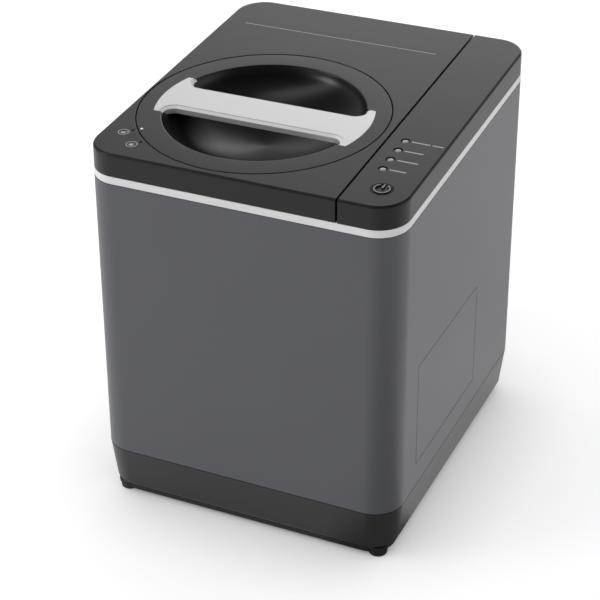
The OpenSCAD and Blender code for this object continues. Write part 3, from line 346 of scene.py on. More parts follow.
def pick(piece, kind, test):
    """Opens a piece in edit mode with just those of its verts, edges or faces selected that pass a test."""
    take(piece)
    bpy.ops.object.mode_set(mode="EDIT")
    bpy.ops.mesh.select_all(action="DESELECT")
    bpy.ops.mesh.select_mode(type=kind)
    mesh = bmesh.from_edit_mesh(piece.data)
    for part in {"VERT": mesh.verts, "EDGE": mesh.edges, "FACE": mesh.faces}[kind]:
        if test(part):
            part.select_set(True)
    mesh.select_flush_mode()
    bmesh.update_edit_mesh(piece.data)


def close():
    bpy.ops.object.mode_set(mode="OBJECT")


def ends(edge):
    """The two ends of an edge, in millimetres."""
    return [vert.co / MM for vert in edge.verts]


def upright(edge):
    one, two = ends(edge)
    return (one - two).to_2d().length < 0.01


def round_off(width, segments=1):
    """Rounds the selected edges, or cuts them off with one segment."""
    bpy.ops.mesh.bevel(offset=width * MM, segments=segments, affect="EDGES")


def finish(piece, body, slot, material, *nodes, smooth=35):
    """Shades a finished piece and says what it moves with, what it is made of and what it stands for."""
    take(piece)
    bpy.ops.object.shade_smooth_by_angle(angle=radians(smooth))
    modifier = piece.modifiers.new("even light", "WEIGHTED_NORMAL")
    modifier.keep_sharp = True
    bpy.ops.object.modifier_apply(modifier=modifier.name)
    piece.data.materials.clear()
    piece.data.materials.append(material)
    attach(piece, body)
    if nodes:
        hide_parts(*nodes)
    return piece


def merged(node):
    """A copy of a CAD node with its loose triangles joined."""
    piece = bpy.data.objects.new(node + "_soft", frame["nodes"][node].data.copy())
    bpy.context.scene.collection.objects.link(piece)
    take(piece)
    bpy.ops.object.mode_set(mode="EDIT")
    bpy.ops.mesh.select_all(action="SELECT")
    bpy.ops.mesh.remove_doubles(threshold=0.002 * MM)
    bpy.ops.mesh.dissolve_limited(angle_limit=radians(0.4))
    bpy.ops.mesh.customdata_custom_splitnormals_clear()
    close()
    return piece


def break_edges(piece, width, segments=2):
    """Rounds all the sharp edges of a piece."""
    modifier = piece.modifiers.new("edges", "BEVEL")
    modifier.width = width * MM
    modifier.segments = segments
    modifier.angle_limit = radians(40)
    modifier.use_clamp_overlap = True
    take(piece)
    bpy.ops.object.modifier_apply(modifier=modifier.name)


def soften(node, body, slot, material, width=0.3, segments=2, smooth=35):
    """A merged copy of a CAD node whose sharp edges are rounded a little, as a moulding's are."""
    piece = merged(node)
    break_edges(piece, width, segments)
    return finish(piece, body, slot, material, node, smooth=smooth)


def cut(piece, cutter, operation="DIFFERENCE"):
    """Cuts a piece with another, or joins the two, and clears the other away."""
    modifier = piece.modifiers.new("cut", "BOOLEAN")
    modifier.operation = operation
    modifier.solver = "EXACT"
    modifier.object = cutter
    take(piece)
    bpy.ops.object.modifier_apply(modifier=modifier.name)
    bpy.data.objects.remove(cutter)


def gather(name, pieces):
    """Joins pieces into one."""
    bpy.ops.object.select_all(action="DESELECT")
    for piece in pieces:
        piece.select_set(True)
    bpy.context.view_layer.objects.active = pieces[0]
    bpy.ops.object.join()
    pieces[0].name = name
    return pieces[0]


def boxes(node, apart):
    """The boxes of a node's like pieces, which lie further apart than a distance in millimetres."""
    groups = []
    for vertex in frame["nodes"][node].data.vertices:
        place = vertex.co / MM
        near = [group for group in groups if (group[0] - place).length < apart]
        if near:
            near[0].append(place)
        else:
            groups.append([place])
    return [[Vector(limit(parts) for parts in zip(*group)) for limit in (min, max)] for group in groups]


def cross_headed(node, axis, out, apart):
    """Screws with broken edges and a cross recess in the head, which faces out along an axis."""
    screws = merged(node)
    break_edges(screws, 0.35)
    for wide in {0, 1, 2} - {axis}:
        slots = []
        for low, high in boxes(node, apart):
            middle = (low + high) / 2
            half = [CROSS_WIDE] * 3
            half[wide] = CROSS_LONG
            half[axis] = CROSS_DEEP
            middle[axis] = high[axis] if out > 0 else low[axis]
            slots.append(block("slot", middle - Vector(half), middle + Vector(half)))
        cut(screws, gather("slots", slots))
    return finish(screws, "chassis", "screw", screw_steel, node)


CROSS_WIDE = 0.6
CROSS_LONG = 1.9
CROSS_DEEP = 1.1

rubber = moulded("foot rubber", grey(0.012), 0.62, 1.2 * MM, 0.05 * MM)
soften("rubber_feet", "chassis", "rubber", rubber, 0.4)
screw_steel = metal("screw steel", grey(0.38), 0.36)
cross_headed("foot_screws", 2, -1, 60)
dress(screw_steel, "frame_pillars")

# Base skirt and bottom plate.
# The skirt is one dark moulding that tapers in below the seam and rolls under at
# its lower edge. A tongue on it holds the wrap, and the plate closes it below.
base_plastic = moulded("base plastic", grey(0.018), 0.38, 0.8 * MM, shine=0.43)
soften("base_skirt", "chassis", "base_plastic", base_plastic, 0.4)
under_plastic = moulded("under plastic", grey(0.008), 0.6, 1 * MM)
soften("bottom_plate", "chassis", "under_plastic", under_plastic, 0.4)

# Drive.
# A cast gearbox hangs under the well with nylon gears on a steel shaft, and a
# motor in a drawn steel can turns a brass pinion. The heater is a cast ring.
gearbox_alloy = metal("gearbox alloy", grey(0.32), 0.5, 0.8 * MM)
dress(gearbox_alloy, "gearbox_base", "gearbox_cover")
motor_can = metal("motor can", grey(0.5), 0.35, 0.5 * MM, (1, 1, 0.1))
dress(motor_can, "drive_motor")
shaft_steel = metal("shaft steel", grey(0.6), 0.26, 0.3 * MM, (1, 1, 0.1))
soften("drive_shaft", "drive", "shaft_steel", shaft_steel, 0.5)
nylon = moulded("gear nylon", (0.62, 0.58, 0.48, 1), 0.42)
dress(nylon, "output_gear", "idler_gear")
brass = metal("pinion brass", (0.62, 0.43, 0.19, 1), 0.3)
dress(brass, "motor_pinion")
heater_alloy = metal("heater alloy", grey(0.42), 0.45, 0.9 * MM)
dress(heater_alloy, "heater_plate")

# Filter bay, fan and duct.
# Black mouldings that the side cover and the back hide.
inner_plastic = moulded("inner plastic", grey(0.014), 0.55, 1 * MM, 0.03 * MM)
soften("filter_bay", "chassis", "inner_plastic", inner_plastic, 0.4)
dress(inner_plastic, "air_duct", "fan_housing", "fan_impeller")


# Body wrap and side cover.
# One sheet of steel is bent round four corners and powder coated in a bluish
# dark grey. The cover in the right side is cut from the same sheet. The faces
# in the narrow gap round it are painted near black, a painted shade.
def powder_coat(name, colour):
    """Powder coat on sheet: a fine peel, small flakes and a faint cloud."""
    material, place = new_finish(name)
    peel = noise(place, 1.6 * MM, 2)
    flake = noise(place, 0.35 * MM, 1)
    cloud = noise(place, 90 * MM, 2)
    give(
        material,
        Base_Color=blend_colour(flake * 0.6 + cloud * 0.4, tone(colour, 0.9), tone(colour, 1.1)),
        Roughness=0.36 + flake * 0.06 + cloud * 0.04,
        Normal=bump(peel, 0.02 * MM, 0.4),
    )
    return material


wrap_paint = powder_coat("wrap paint", (0.092, 0.094, 0.108, 1))
wrap = soften("body_wrap", "chassis", "wrap_paint", wrap_paint, 0.12)
cover = soften("filter_cover", "side_cover", "cover_paint", wrap_paint, 0.12)
# A near black finish that stands for the shade in narrow gaps and hollows: painted shade.
painted_shade = moulded("painted shade", grey(0.003), 0.6, shine=0.1)
CUT_DEEP = 3
CUT_WIDE = 0.6


def box_of(node):
    """A CAD node's lowest and highest corners, in millimetres."""
    return [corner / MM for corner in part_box(node)]


def paint(piece, material, test):
    """Gives the faces of a piece that pass a test another finish."""
    piece.data.materials.append(material)
    for face in piece.data.polygons:
        if test(face):
            face.material_index = len(piece.data.materials) - 1


cover_low, cover_high = box_of("filter_cover")


def round_the_cover(face):
    """Whether a face lies on the sheet's cut rim round the cover or round the opening that it closes."""
    x, y, z = face.center / MM
    outside = max(cover_low.y - y, y - cover_high.y, cover_low.z - z, z - cover_high.z)
    return abs(face.normal.x) < 0.5 and x > cover_high.x - CUT_DEEP and abs(outside) < CUT_WIDE


# Painted shade on the faces in the gap round the cover and its opening.
paint(wrap, painted_shade, round_the_cover)
paint(cover, painted_shade, round_the_cover)

# Back panel, its screws and the mains inlet.
# A black moulding with two fields of slanted louvres, held by six cross-headed
# screws. The inlet is a socket with three flat pins.
soften("rear_panel", "chassis", "inner_plastic", inner_plastic, 0.3)
cross_headed("rear_screws", 1, 1, 40)
inlet_plastic = moulded("inlet plastic", grey(0.01), 0.32, 0.6 * MM)
inlet = soften("power_inlet", "chassis", "inlet_plastic", inlet_plastic, 0.3)
inlet_low, inlet_high = box_of("power_inlet")
PIN_DEEP = (4, 17)
EARTH_PIN = ((-1.2, 1.2), (-0.2, 4.2))
SIDE_PIN = ((5.8, 8.2), (-4.7, -0.3))


def on_pin(face):
    """Whether a face is a pin's, by its place across, over and behind the socket's middle."""
    across = abs(face.center.x / MM - (inlet_low.x + inlet_high.x) / 2)
    level = face.center.z / MM - (inlet_low.z + inlet_high.z) / 2
    deep = inlet_high.y - face.center.y / MM
    for wide, tall in (EARTH_PIN, SIDE_PIN):
        if wide[0] < across < wide[1] and tall[0] < level < tall[1]:
            return PIN_DEEP[0] < deep < PIN_DEEP[1]
    return False


paint(inlet, metal("pin steel", grey(0.62), 0.25), on_pin)

# Trim band.
# A pale satin frame between the wrap and the cap, with softly broken edges.
band_white = moulded("band white", grey(0.86), 0.35, 0.9 * MM, 0.01 * MM)
soften("trim_band", "chassis", "trim_white", band_white, 0.6, 3)

# Deck and well.
# The deck closes the body under the lid. The well under it is drawn from
# stainless sheet, with a heated floor and felt round its wall.
deck_plastic = moulded("deck plastic", grey(0.016), 0.48, 0.9 * MM)
soften("top_deck", "chassis", "deck_plastic", deck_plastic, 0.5)


def drawn_steel(name, colour, roughness, centre):
    """Sheet drawn or spun round a plumb axis: fine rings round that axis and a faint mottle."""
    material, place = new_finish(name)
    moved = place.node("Mapping", {}, {"Vector": place, "Location": -Vector(centre)})
    parts = moved.tree.nodes.new("ShaderNodeSeparateXYZ")
    join(moved.tree, moved, parts.inputs[0])
    x, y, z = (Wire(moved.tree, parts.outputs[axis]) for axis in "XYZ")
    radius = (x * x + y * y) ** 0.5
    around = radius.node("CombineXYZ", {}, {"X": radius, "Y": z})
    rings = noise(around, 0.5 * MM, 3, 0.6)
    patches = noise(place, 30 * MM, 3)
    give(
        material,
        Base_Color=blend_colour(patches, tone(colour, 0.86), tone(colour, 1.06)),
        Metallic=1.0,
        Roughness=roughness - 0.06 + rings * 0.12 + patches * 0.06,
        Normal=bump(rings, 0.006 * MM, 0.6),
    )
    return material


well_low, well_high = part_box("well_liner")
well_centre = ((well_low.x + well_high.x) / 2, (well_low.y + well_high.y) / 2, 0)
well_steel = drawn_steel("well steel", (0.58, 0.59, 0.61, 1), 0.27, well_centre)
dress(well_steel, "well_liner")
felt = moulded("insulation felt", (0.55, 0.52, 0.45, 1), 0.9, 1.5 * MM, 0.4 * MM)
dress(felt, "insulation")

# Bucket, bail and grinder.
# The bucket is cast alloy with a grey ceramic coat, the bail a black plastic
# rod, and the rotor and the fixed bars are cast stainless steel.
coat = moulded("bucket coat", (0.062, 0.064, 0.067, 1), 0.34, 0.5 * MM, 0.03 * MM, 0.2)
soften("bucket", "bucket", "bucket_coat", coat, 0.35)
grinder_steel = metal("grinder steel", (0.45, 0.46, 0.48, 1), 0.36, 0.8 * MM, depth=0.03 * MM)
soften("bucket_combs", "bucket", "grinder_steel", grinder_steel, 0.8)
soften("grinder_rotor", "rotor", "grinder_steel", grinder_steel, 0.8)
bail_plastic = moulded("bail plastic", grey(0.012), 0.42, 0.8 * MM)
dress(bail_plastic, "bail_handle")

# Filter cartridges.
# Two black baskets of active carbon with slotted sides and a pull tab.
cartridge_plastic = moulded("cartridge plastic", (0.018, 0.02, 0.022, 1), 0.5)
carbon, place = new_finish("active carbon")
grains = place.node("TexVoronoi", {}, {"Vector": place, "Scale": 1 / (2.2 * MM)})
shades = noise(place, 1.8 * MM, 2, 0.7)
give(
    carbon,
    Base_Color=blend_colour(shades, grey(0.012), grey(0.05)),
    Roughness=0.6 + shades * 0.3,
    Normal=bump(1 - grains, 1.2 * MM),
)
GROOVE = 1.6
TAB = 2.2
WINDOW = 500


def filled(node, body):
    """A cartridge whose grooves and side windows show the carbon in it."""
    piece = soften(node, body, "cartridge_plastic", cartridge_plastic, 0.4)
    low, high = box_of(node)

    def on_carbon(face):
        x, y, _ = face.center / MM
        groove = min(abs(x - low.x - GROOVE), abs(high.x - TAB - GROOVE - x)) < 0.3
        window = min(y - low.y, high.y - y) > 0.7 and face.area > WINDOW * MM * MM
        return abs(face.normal.x) > 0.9 and groove or abs(face.normal.y) > 0.9 and window

    paint(piece, carbon, on_carbon)


filled("filter_cartridge_front", "front_cartridge")
filled("filter_cartridge_rear", "rear_cartridge")


# Lid.
# A moulded cap with a ring that carries the dial. It is hollow below, closed by
# a liner plate with a rubber seal, and has two small dimples beside the dial.
def lathe(name, section, steps=128):
    """Turns a closed outline of points, radius then height in millimetres, round the Z axis."""
    bpy.ops.object.select_all(action="DESELECT")
    bpy.ops.mesh.primitive_circle_add(vertices=len(section), radius=MM)
    piece = bpy.context.object
    piece.name = name
    for vertex, (radius, height) in zip(piece.data.vertices, section):
        vertex.co = Vector((radius, 0, height)) * MM
    bpy.ops.object.mode_set(mode="EDIT")
    bpy.ops.mesh.select_all(action="SELECT")
    bpy.ops.mesh.spin(steps=steps, angle=2 * pi, center=(0, 0, 0), axis=(0, 0, 1))
    bpy.ops.mesh.select_all(action="SELECT")
    bpy.ops.mesh.remove_doubles(threshold=0.001 * MM)
    bpy.ops.mesh.delete_loose()
    bpy.ops.mesh.select_all(action="SELECT")
    bpy.ops.mesh.normals_make_consistent()
    close()
    return piece


def lay_on_top(piece, x=0.0, y=0.0):
    """Moves a piece made round the origin to a place on the sloping top, in millimetres."""
    piece.matrix_world = TOP @ Matrix.Translation(Vector((x, y, 0)) * MM)
    take(piece)
    bpy.ops.object.transform_apply()
    return piece


def slice_off(piece, place, outwards):
    """Cuts a piece by a plane, closes the cut and drops what lies outside it."""
    take(piece)
    bpy.ops.object.mode_set(mode="EDIT")
    bpy.ops.mesh.select_all(action="SELECT")
    bpy.ops.mesh.bisect(plane_co=place, plane_no=outwards, use_fill=True, clear_outer=True)
    close()


def height(point):
    """How far a point lies over the sloping top, in millimetres."""
    return (TOP_BACK @ Vector(point)).z / MM


def aside(face, x, y):
    """Where a face lies along the top, from a place on it, in millimetres."""
    return (TOP_BACK @ face.center / MM - Vector((x, y, 0))).to_2d()


def rolled(radius, width):
    """Points round the lip of an opening, from its top to its wall."""
    return [(radius + width * (1 - cos(a)), -width * (1 - sin(a))) for a in (pi / 2, pi / 3, pi / 6, 0)]


turn = joints["dial_turn"]
SLOPE = atan2(-turn["axis"][1], turn["axis"][2])
cap_low, cap_high = box_of("console_cover")
lid_low, lid_high = box_of("lid_cover")
TOP_MIDDLE = 351.214
TOP = Matrix.Translation((0, 0, TOP_MIDDLE * MM)) @ Matrix.Rotation(SLOPE, 4, "X")
TOP_BACK = TOP.inverted()
TOP_UP = TOP.to_3x3() @ Vector((0, 0, 1))
CAP_CORNER = 26.7
CAP_BLANK = (200, 500)
CAP_EDGE = 2.2
CAP_WALL = 2.5
SEAM_EDGE = 0.5


def cap_block(name, low, seam_x, left, inset=0.0, under=0.0):
    """A block of the cap between a level of the sloping frame and the top, on one side of the seam."""
    near = (lid_low.x + inset, lid_low.y + inset, CAP_BLANK[0])
    far = (cap_high.x - inset, lid_high.y - inset, CAP_BLANK[1])
    piece = block(name, near, far)
    pick(piece, "EDGE", upright)
    round_off(CAP_CORNER - inset, 20)
    close()
    slice_off(piece, TOP @ Vector((0, 0, -under * MM)), TOP_UP)
    slice_off(piece, TOP @ Vector((0, 0, low * MM)), -TOP_UP)
    slice_off(piece, (seam_x * MM, 0, 0), (1 if left else -1, 0, 0))
    return piece


def cap_shell(name, low, seam_x, left):
    """A cap block with its edges rounded, hollowed from below."""
    piece = cap_block(name, low, seam_x, left)

    def on_top(edge):
        return all(abs(height(vert.co)) < 0.01 for vert in edge.verts)

    def on_seam(edge):
        return all(abs(end.x - seam_x) < 0.01 for end in ends(edge))

    def at_foot(edge):
        return all(height(vert.co) < low + 0.01 for vert in edge.verts)

    pick(piece, "EDGE", lambda edge: on_top(edge) and not on_seam(edge))
    round_off(CAP_EDGE, 6)
    close()
    pick(piece, "EDGE", lambda edge: on_seam(edge) and not at_foot(edge))
    round_off(SEAM_EDGE, 2)
    close()
    inner_seam = seam_x - CAP_WALL if left else seam_x + CAP_WALL
    cut(piece, cap_block("hollow", low - 5, inner_seam, left, CAP_WALL, CAP_WALL))
    return piece


LID_LEVEL = -20.1
LID_SEAM = lid_high.x
DIAL_X = turn["pos_m"][0] / MM
DIAL_Y = -45.0
DIAL_HOLE = 108.8
LEDGE_HOLE = 100
LEDGE_TOP = -6.5
LEDGE_LOW = -9
RING_IN = 90
RING = 110.6
LIP = 0.5
DIMPLE = 1.2
DIMPLE_PLACE = 112.4
MARK_ANGLE = -140.7
LOCK_TURN = turn["range_deg"][1]

lid = cap_shell("lid_shell", LID_LEVEL, LID_SEAM, True)
ring = [(RING_IN, -1), (RING, -1), (RING, LEDGE_LOW), (RING_IN, LEDGE_LOW)]
cut(lid, lay_on_top(lathe("ring", ring), DIAL_X, DIAL_Y), "UNION")
hole = [(0, 5), (DIAL_HOLE + 1, 5), (DIAL_HOLE + 1, 0.2)] + rolled(DIAL_HOLE, LIP)
hole += [(DIAL_HOLE, LEDGE_TOP), (LEDGE_HOLE, LEDGE_TOP), (LEDGE_HOLE, LID_LEVEL - 5), (0, LID_LEVEL - 5)]
cut(lid, lay_on_top(lathe("hole", hole, 160), DIAL_X, DIAL_Y))
dimple = [(0, 1), (DIMPLE + 0.3, 1), (DIMPLE + 0.3, 0.1), (DIMPLE, -0.3), (DIMPLE * 0.7, -0.8), (0, -1)]
marks = [radians(MARK_ANGLE), radians(MARK_ANGLE + LOCK_TURN)]
for angle in marks:
    x, y = DIAL_X + DIMPLE_PLACE * cos(angle), DIAL_Y + DIMPLE_PLACE * sin(angle)
    cut(lid, lay_on_top(lathe("dimple", dimple, 24), x, y))
cap_plastic = moulded("cap plastic", grey(0.011), 0.36, 0.8 * MM, shine=0.3)
finish(lid, "lid", "cap_plastic", cap_plastic, "lid_cover")


def in_dimple(face):
    spot = aside(face, DIAL_X, DIAL_Y)
    turned = min(abs(atan2(spot.y, spot.x) - angle) for angle in marks)
    return height(face.center) < -0.05 and abs(spot.length - DIMPLE_PLACE) < 2 and turned < 0.02


# The dimples' insides are painted near black, a painted shade.
paint(lid, painted_shade, in_dimple)
soften("lid_liner", "lid", "deck_plastic", deck_plastic, 0.3)
seal_rubber = moulded("seal rubber", grey(0.01), 0.55, 1 * MM)
dress(seal_rubber, "lid_seal")

# Lock ring and heat shield.
# The ring under the dial carries the four lugs. A spun alloy pan under it keeps
# the heat off the bowl.
soften("lock_ring", "dial", "deck_plastic", deck_plastic, 0.4)
shield_alloy = drawn_steel("shield alloy", grey(0.62), 0.32, well_centre)
soften("heat_shield", "dial", "shield_alloy", shield_alloy, 0.3)

# Dial.
# A moulded ring whose flat rim lies flush in the lid, with a scooped bowl in
# the middle. The bowl is polished and painted darker than the rim, a painted
# shade, and the rim has the lid's fine grain. Two shallow beds in the rim take
# the bar's ends, and a small hole takes the mark.
DIAL = 108.0
BOWL = 86.6
BOWL_DEEP = 34.0
BOWL_WALL = 2.4
BOWL_CURVE = 1.4
BOWL_LIP = 1.3
BOWL_STEPS = 28
DIAL_THICK = 5.0
RIM_IN = DIAL - 4
RIM_THICK = 6.3
END_OUT = 94.2
END_HALF = 32.8
END_THICK = 2.6
BED_IN = BOWL - 4
BED_GAP = 0.15
MARK = 1.3
MARK_PLACE = 105.1
MARK_DEEP = 1.5


def bowl_curve(radius, depth):
    """Points down a bowl, from its mouth to its middle."""
    turns = [step * pi / 2 / BOWL_STEPS for step in range(BOWL_STEPS + 1)]
    return [(radius * max(0, cos(a)) ** BOWL_CURVE, -depth * sin(a)) for a in turns]


inside = [point for point in bowl_curve(BOWL, BOWL_DEEP) if point[1] < -BOWL_LIP]
outside = bowl_curve(BOWL + BOWL_WALL, BOWL_DEEP + BOWL_WALL)
outside = [point for point in outside if point[1] < -DIAL_THICK - 0.3]
rim = [(DIAL, -RIM_THICK), (DIAL, -0.6), (DIAL - 0.2, -0.2), (DIAL - 0.6, 0)]
under = [(BOWL + BOWL_WALL, -DIAL_THICK), (RIM_IN, -DIAL_THICK), (RIM_IN, -RIM_THICK)]
dial = lathe("dial_moulding", rim + rolled(BOWL, BOWL_LIP) + inside + outside[::-1] + under, 192)
bed_out = END_OUT + BED_GAP
bed_half = END_HALF + BED_GAP
bed = lathe("bed", [(BED_IN, 3), (bed_out, 3), (bed_out, -END_THICK), (BED_IN, -END_THICK)])
cut(bed, block("bed_width", (-DIAL, -bed_half, -10), (DIAL, bed_half, 10)), "INTERSECT")
cut(dial, bed)
mark_hole = lathe("mark_hole", [(0, 2), (MARK, 2), (MARK, -MARK_DEEP), (0, -MARK_DEEP)], 24)
mark_hole.location = Vector((cos(marks[0]), sin(marks[0]), 0)) * MARK_PLACE * MM
cut(dial, mark_hole)
lay_on_top(dial, DIAL_X, DIAL_Y)
finish(dial, "dial", "cap_plastic", cap_plastic, "dial")
bowl_polish_and_shade = moulded("bowl polish and painted shade", grey(0.005), 0.25, 0.8 * MM, 0.006 * MM, shine=0.38)


def in_bowl(face):
    return aside(face, DIAL_X, DIAL_Y).length < BOWL + 0.2 and face.normal.dot(TOP_UP) > -0.2


# The bowl is smoother than the rim, and its darker colour is painted shade.
paint(dial, bowl_polish_and_shade, in_bowl)
mark_white = moulded("mark white", grey(0.8), 0.4)
dress(mark_white, "dial_mark")


# Handle bar.
# A bar across the bowl, moulded and sprayed silver, whose widened ends are let
# into the dial's rim. A flat skin on it leaves a low step along the openings.
def arc(centre, radius, start, end, steps):
    """Points along an arc, both ends included."""
    turns = [start + (end - start) * step / steps for step in range(steps + 1)]
    return [(centre[0] + radius * cos(a), centre[1] + radius * sin(a)) for a in turns]


def plate(name, outline, low, high):
    """A prism over an outline, between two levels in millimetres."""
    bpy.ops.object.select_all(action="DESELECT")
    bpy.ops.mesh.primitive_circle_add(vertices=len(outline), radius=MM, fill_type="NGON")
    piece = bpy.context.object
    piece.name = name
    for vertex, (x, y) in zip(piece.data.vertices, outline):
        vertex.co = Vector((x, y, low)) * MM
    bpy.ops.object.mode_set(mode="EDIT")
    bpy.ops.mesh.select_all(action="SELECT")
    bpy.ops.mesh.extrude_region_move(TRANSFORM_OT_translate={"value": (0, 0, (high - low) * MM)})
    bpy.ops.mesh.select_all(action="SELECT")
    bpy.ops.mesh.normals_make_consistent()
    close()
    return piece


def bar_outline(inset):
    """The bar's outline from above, with the edges along the bowl's openings set in."""
    mouth = BOWL + inset
    corner_y = BAR_HALF + BAR_CORNER
    corner_x = sqrt((BOWL - BAR_CORNER) ** 2 - corner_y ** 2)
    corner_turn = min(atan2(corner_y, corner_x), asin((END_HALF - corner_y) / (BAR_CORNER + inset)))
    quarter = arc((0, 0), END_OUT, 0, asin(END_HALF / END_OUT), 10)
    if asin(END_HALF / mouth) > corner_turn + 0.001 and inset == 0:
        quarter += arc((0, 0), mouth, asin(END_HALF / mouth), corner_turn, 2)[:2]
    quarter += arc((corner_x, corner_y), BAR_CORNER + inset, corner_turn, -pi / 2, 14)
    half = quarter + [(-x, y) for x, y in quarter[::-1]]
    return half + [(-x, -y) for x, y in half[1:-1]]


def along_opening(edge):
    """Whether an edge of the bar's outline borders one of the bowl's openings."""
    one, two = ends(edge)
    middle = (one + two) / 2
    beside = middle.to_2d().length < BOWL + SKIN_IN + 0.5 and abs(middle.y) < END_HALF - 0.01
    return beside and abs(one.z - two.z) < 0.01


BAR_HALF = 19.75
BAR_CORNER = 9.2
BAR_THICK = 7.2
BAR_EDGE = 1.9
BAR_UNDER_EDGE = 0.7
BAR_SLIP = 0.3
SKIN = 0.4
SKIN_IN = 2.8
SKIN_LAP = 0.3
SKIN_EDGE = 0.12
FLANK_STEPS = 6
FLANK_LOW = -BAR_THICK - 2

bar = plate("handle_moulding", bar_outline(0), -BAR_THICK, -SKIN)
pick(bar, "EDGE", lambda edge: along_opening(edge) and ends(edge)[0].z > -SKIN - 0.01)
round_off(BAR_EDGE)
close()
pick(bar, "EDGE", lambda edge: along_opening(edge) and ends(edge)[0].z < -BAR_THICK + 0.01)
round_off(BAR_UNDER_EDGE, 2)
close()
# Below its ends, the bar is cut back to the bowl's wall, with a little slip.
flank = (FLANK_LOW + END_THICK) / FLANK_STEPS
levels = [-END_THICK + step * flank for step in range(FLANK_STEPS + 1)]
plug = BOWL_DEEP - BAR_SLIP
around = [((BOWL - BAR_SLIP) * cos(asin(-level / plug)) ** BOWL_CURVE, level) for level in levels]
cut(bar, lathe("around", around + [(DIAL, levels[-1]), (DIAL, levels[0])], 192))
skin = plate("skin", bar_outline(SKIN_IN), -SKIN - SKIN_LAP, 0)
pick(skin, "EDGE", lambda edge: along_opening(edge) and ends(edge)[0].z > -0.01)
round_off(SKIN_EDGE, 2)
close()
gather("handle_moulding", [bar, skin])
lay_on_top(bar, DIAL_X, DIAL_Y)
silver, place = new_finish("handle silver")
flakes = noise(place, 0.3 * MM, 2, 0.7)
cloud = noise(place, 45 * MM, 2)
give(
    silver,
    Base_Color=blend_colour(flakes * 0.85 + cloud * 0.15, grey(0.625), grey(0.665)),
    Metallic=0.38,
    Roughness=0.22 + flakes * 0.08,
    Normal=bump(flakes, 0.01 * MM, 0.4),
    Coat_Weight=0.3,
    Coat_Roughness=0.2,
)
finish(bar, "dial", "handle_silver", silver, "handle_bar")
# A lighter silver on the chamfer along the openings: a painted highlight.
painted_highlight_silver = moulded("painted highlight silver", grey(0.8), 0.3, 0.3 * MM, 0.004 * MM)


def on_highlit_chamfer(face):
    return 0.5 < face.normal.dot(TOP_UP) < 0.9 and -BAR_EDGE - SKIN < height(face.center) < -SKIN


paint(bar, painted_highlight_silver, on_highlit_chamfer)

# Console.
# The fixed right strip of the cap, moulded like the lid, with a recess and a
# hole for each lamp, a hole for the button and the board under it.
CONSOLE_SEAM = cap_low.x
CONSOLE_LEVEL = -20.4
LAMP = 2.9
LAMP_RECESS = 3.9
LAMP_SINK = 0.9
LAMP_X = 102.6
LAMP_Y = -51.9
LAMP_PITCH = 16.45
BUTTON = 8.9
BUTTON_HOLE = 9.2
BUTTON_PLACE = (114.05, -131.6)
lamp_places = [(LAMP_X, LAMP_Y - LAMP_PITCH * number) for number in range(4)]

console = cap_shell("console_shell", CONSOLE_LEVEL, CONSOLE_SEAM, False)
recess = [(0, 3), (LAMP_RECESS + 0.3, 3), (LAMP_RECESS + 0.3, 0.05), (LAMP_RECESS, -0.25)]
recess += [(LAMP_RECESS - 0.1, -LAMP_SINK), (LAMP, -LAMP_SINK), (LAMP, -6), (0, -6)]
for x, y in lamp_places:
    cut(console, lay_on_top(lathe("recess", recess, 40), x, y))
well = [(0, 3), (BUTTON_HOLE + 0.35, 3), (BUTTON_HOLE + 0.35, 0.05), (BUTTON_HOLE, -0.3)]
well += [(BUTTON_HOLE, -6), (0, -6)]
cut(console, lay_on_top(lathe("button_well", well, 72), *BUTTON_PLACE))
finish(console, "chassis", "cap_plastic", cap_plastic, "console_cover")

board_green, place = new_finish("board green")
tracks = noise(place, 2.5 * MM, 2, 0.5, (1, 0.2, 1))
give(
    board_green,
    Base_Color=blend_colour(tracks, (0.01, 0.08, 0.04, 1), (0.015, 0.13, 0.06, 1)),
    Roughness=0.3 + tracks * 0.1,
    Normal=bump(tracks, 0.05 * MM, 0.5),
)
dress(board_green, "control_board")

# Lamps.
# Four milky lenses behind the cap, each a dome with a collar that is pressed
# against the cap from below, unlit.
LENS = LAMP - 0.15
COLLAR = LAMP + 0.9
dome = [(0, -0.1), (1.2, -0.16), (2.1, -0.36), (2.6, -0.65), (LENS, -1.1), (LENS, -2.6)]
dome += [(COLLAR, -2.6), (COLLAR, -3.5), (LENS, -3.5), (LENS, -5.4), (0, -5.4)]
lenses = gather("lamp_lenses", [lay_on_top(lathe("lens", dome, 32), x, y) for x, y in lamp_places])
milky, place = new_finish("milky lens")
haze = noise(place, 1.5 * MM, 2)
give(
    milky,
    Base_Color=blend_colour(haze, grey(0.3), grey(0.37)),
    Roughness=0.22 + haze * 0.08,
    Normal=bump(haze, 0.02 * MM, 0.4),
    Coat_Weight=0.4,
    Coat_Roughness=0.1,
)
finish(lenses, "chassis", "lens", milky, "led_lenses")

# Power button.
# A round key flush in the console, with a collar that holds it in and a raised
# sign on it: a ring open at the back and a bar through the opening.
SIGN = 7.1
SIGN_WIDE = 1.4
SIGN_IN = SIGN - SIGN_WIDE
SIGN_HIGH = 0.7
SIGN_GAP = radians(28)
STROKE_LOW = 0.8
DISH = 0.6
MOAT = 1.3
MOAT_OUT = 8.1
KEY_COLLAR = BUTTON + 1.4
STEM = 2.4

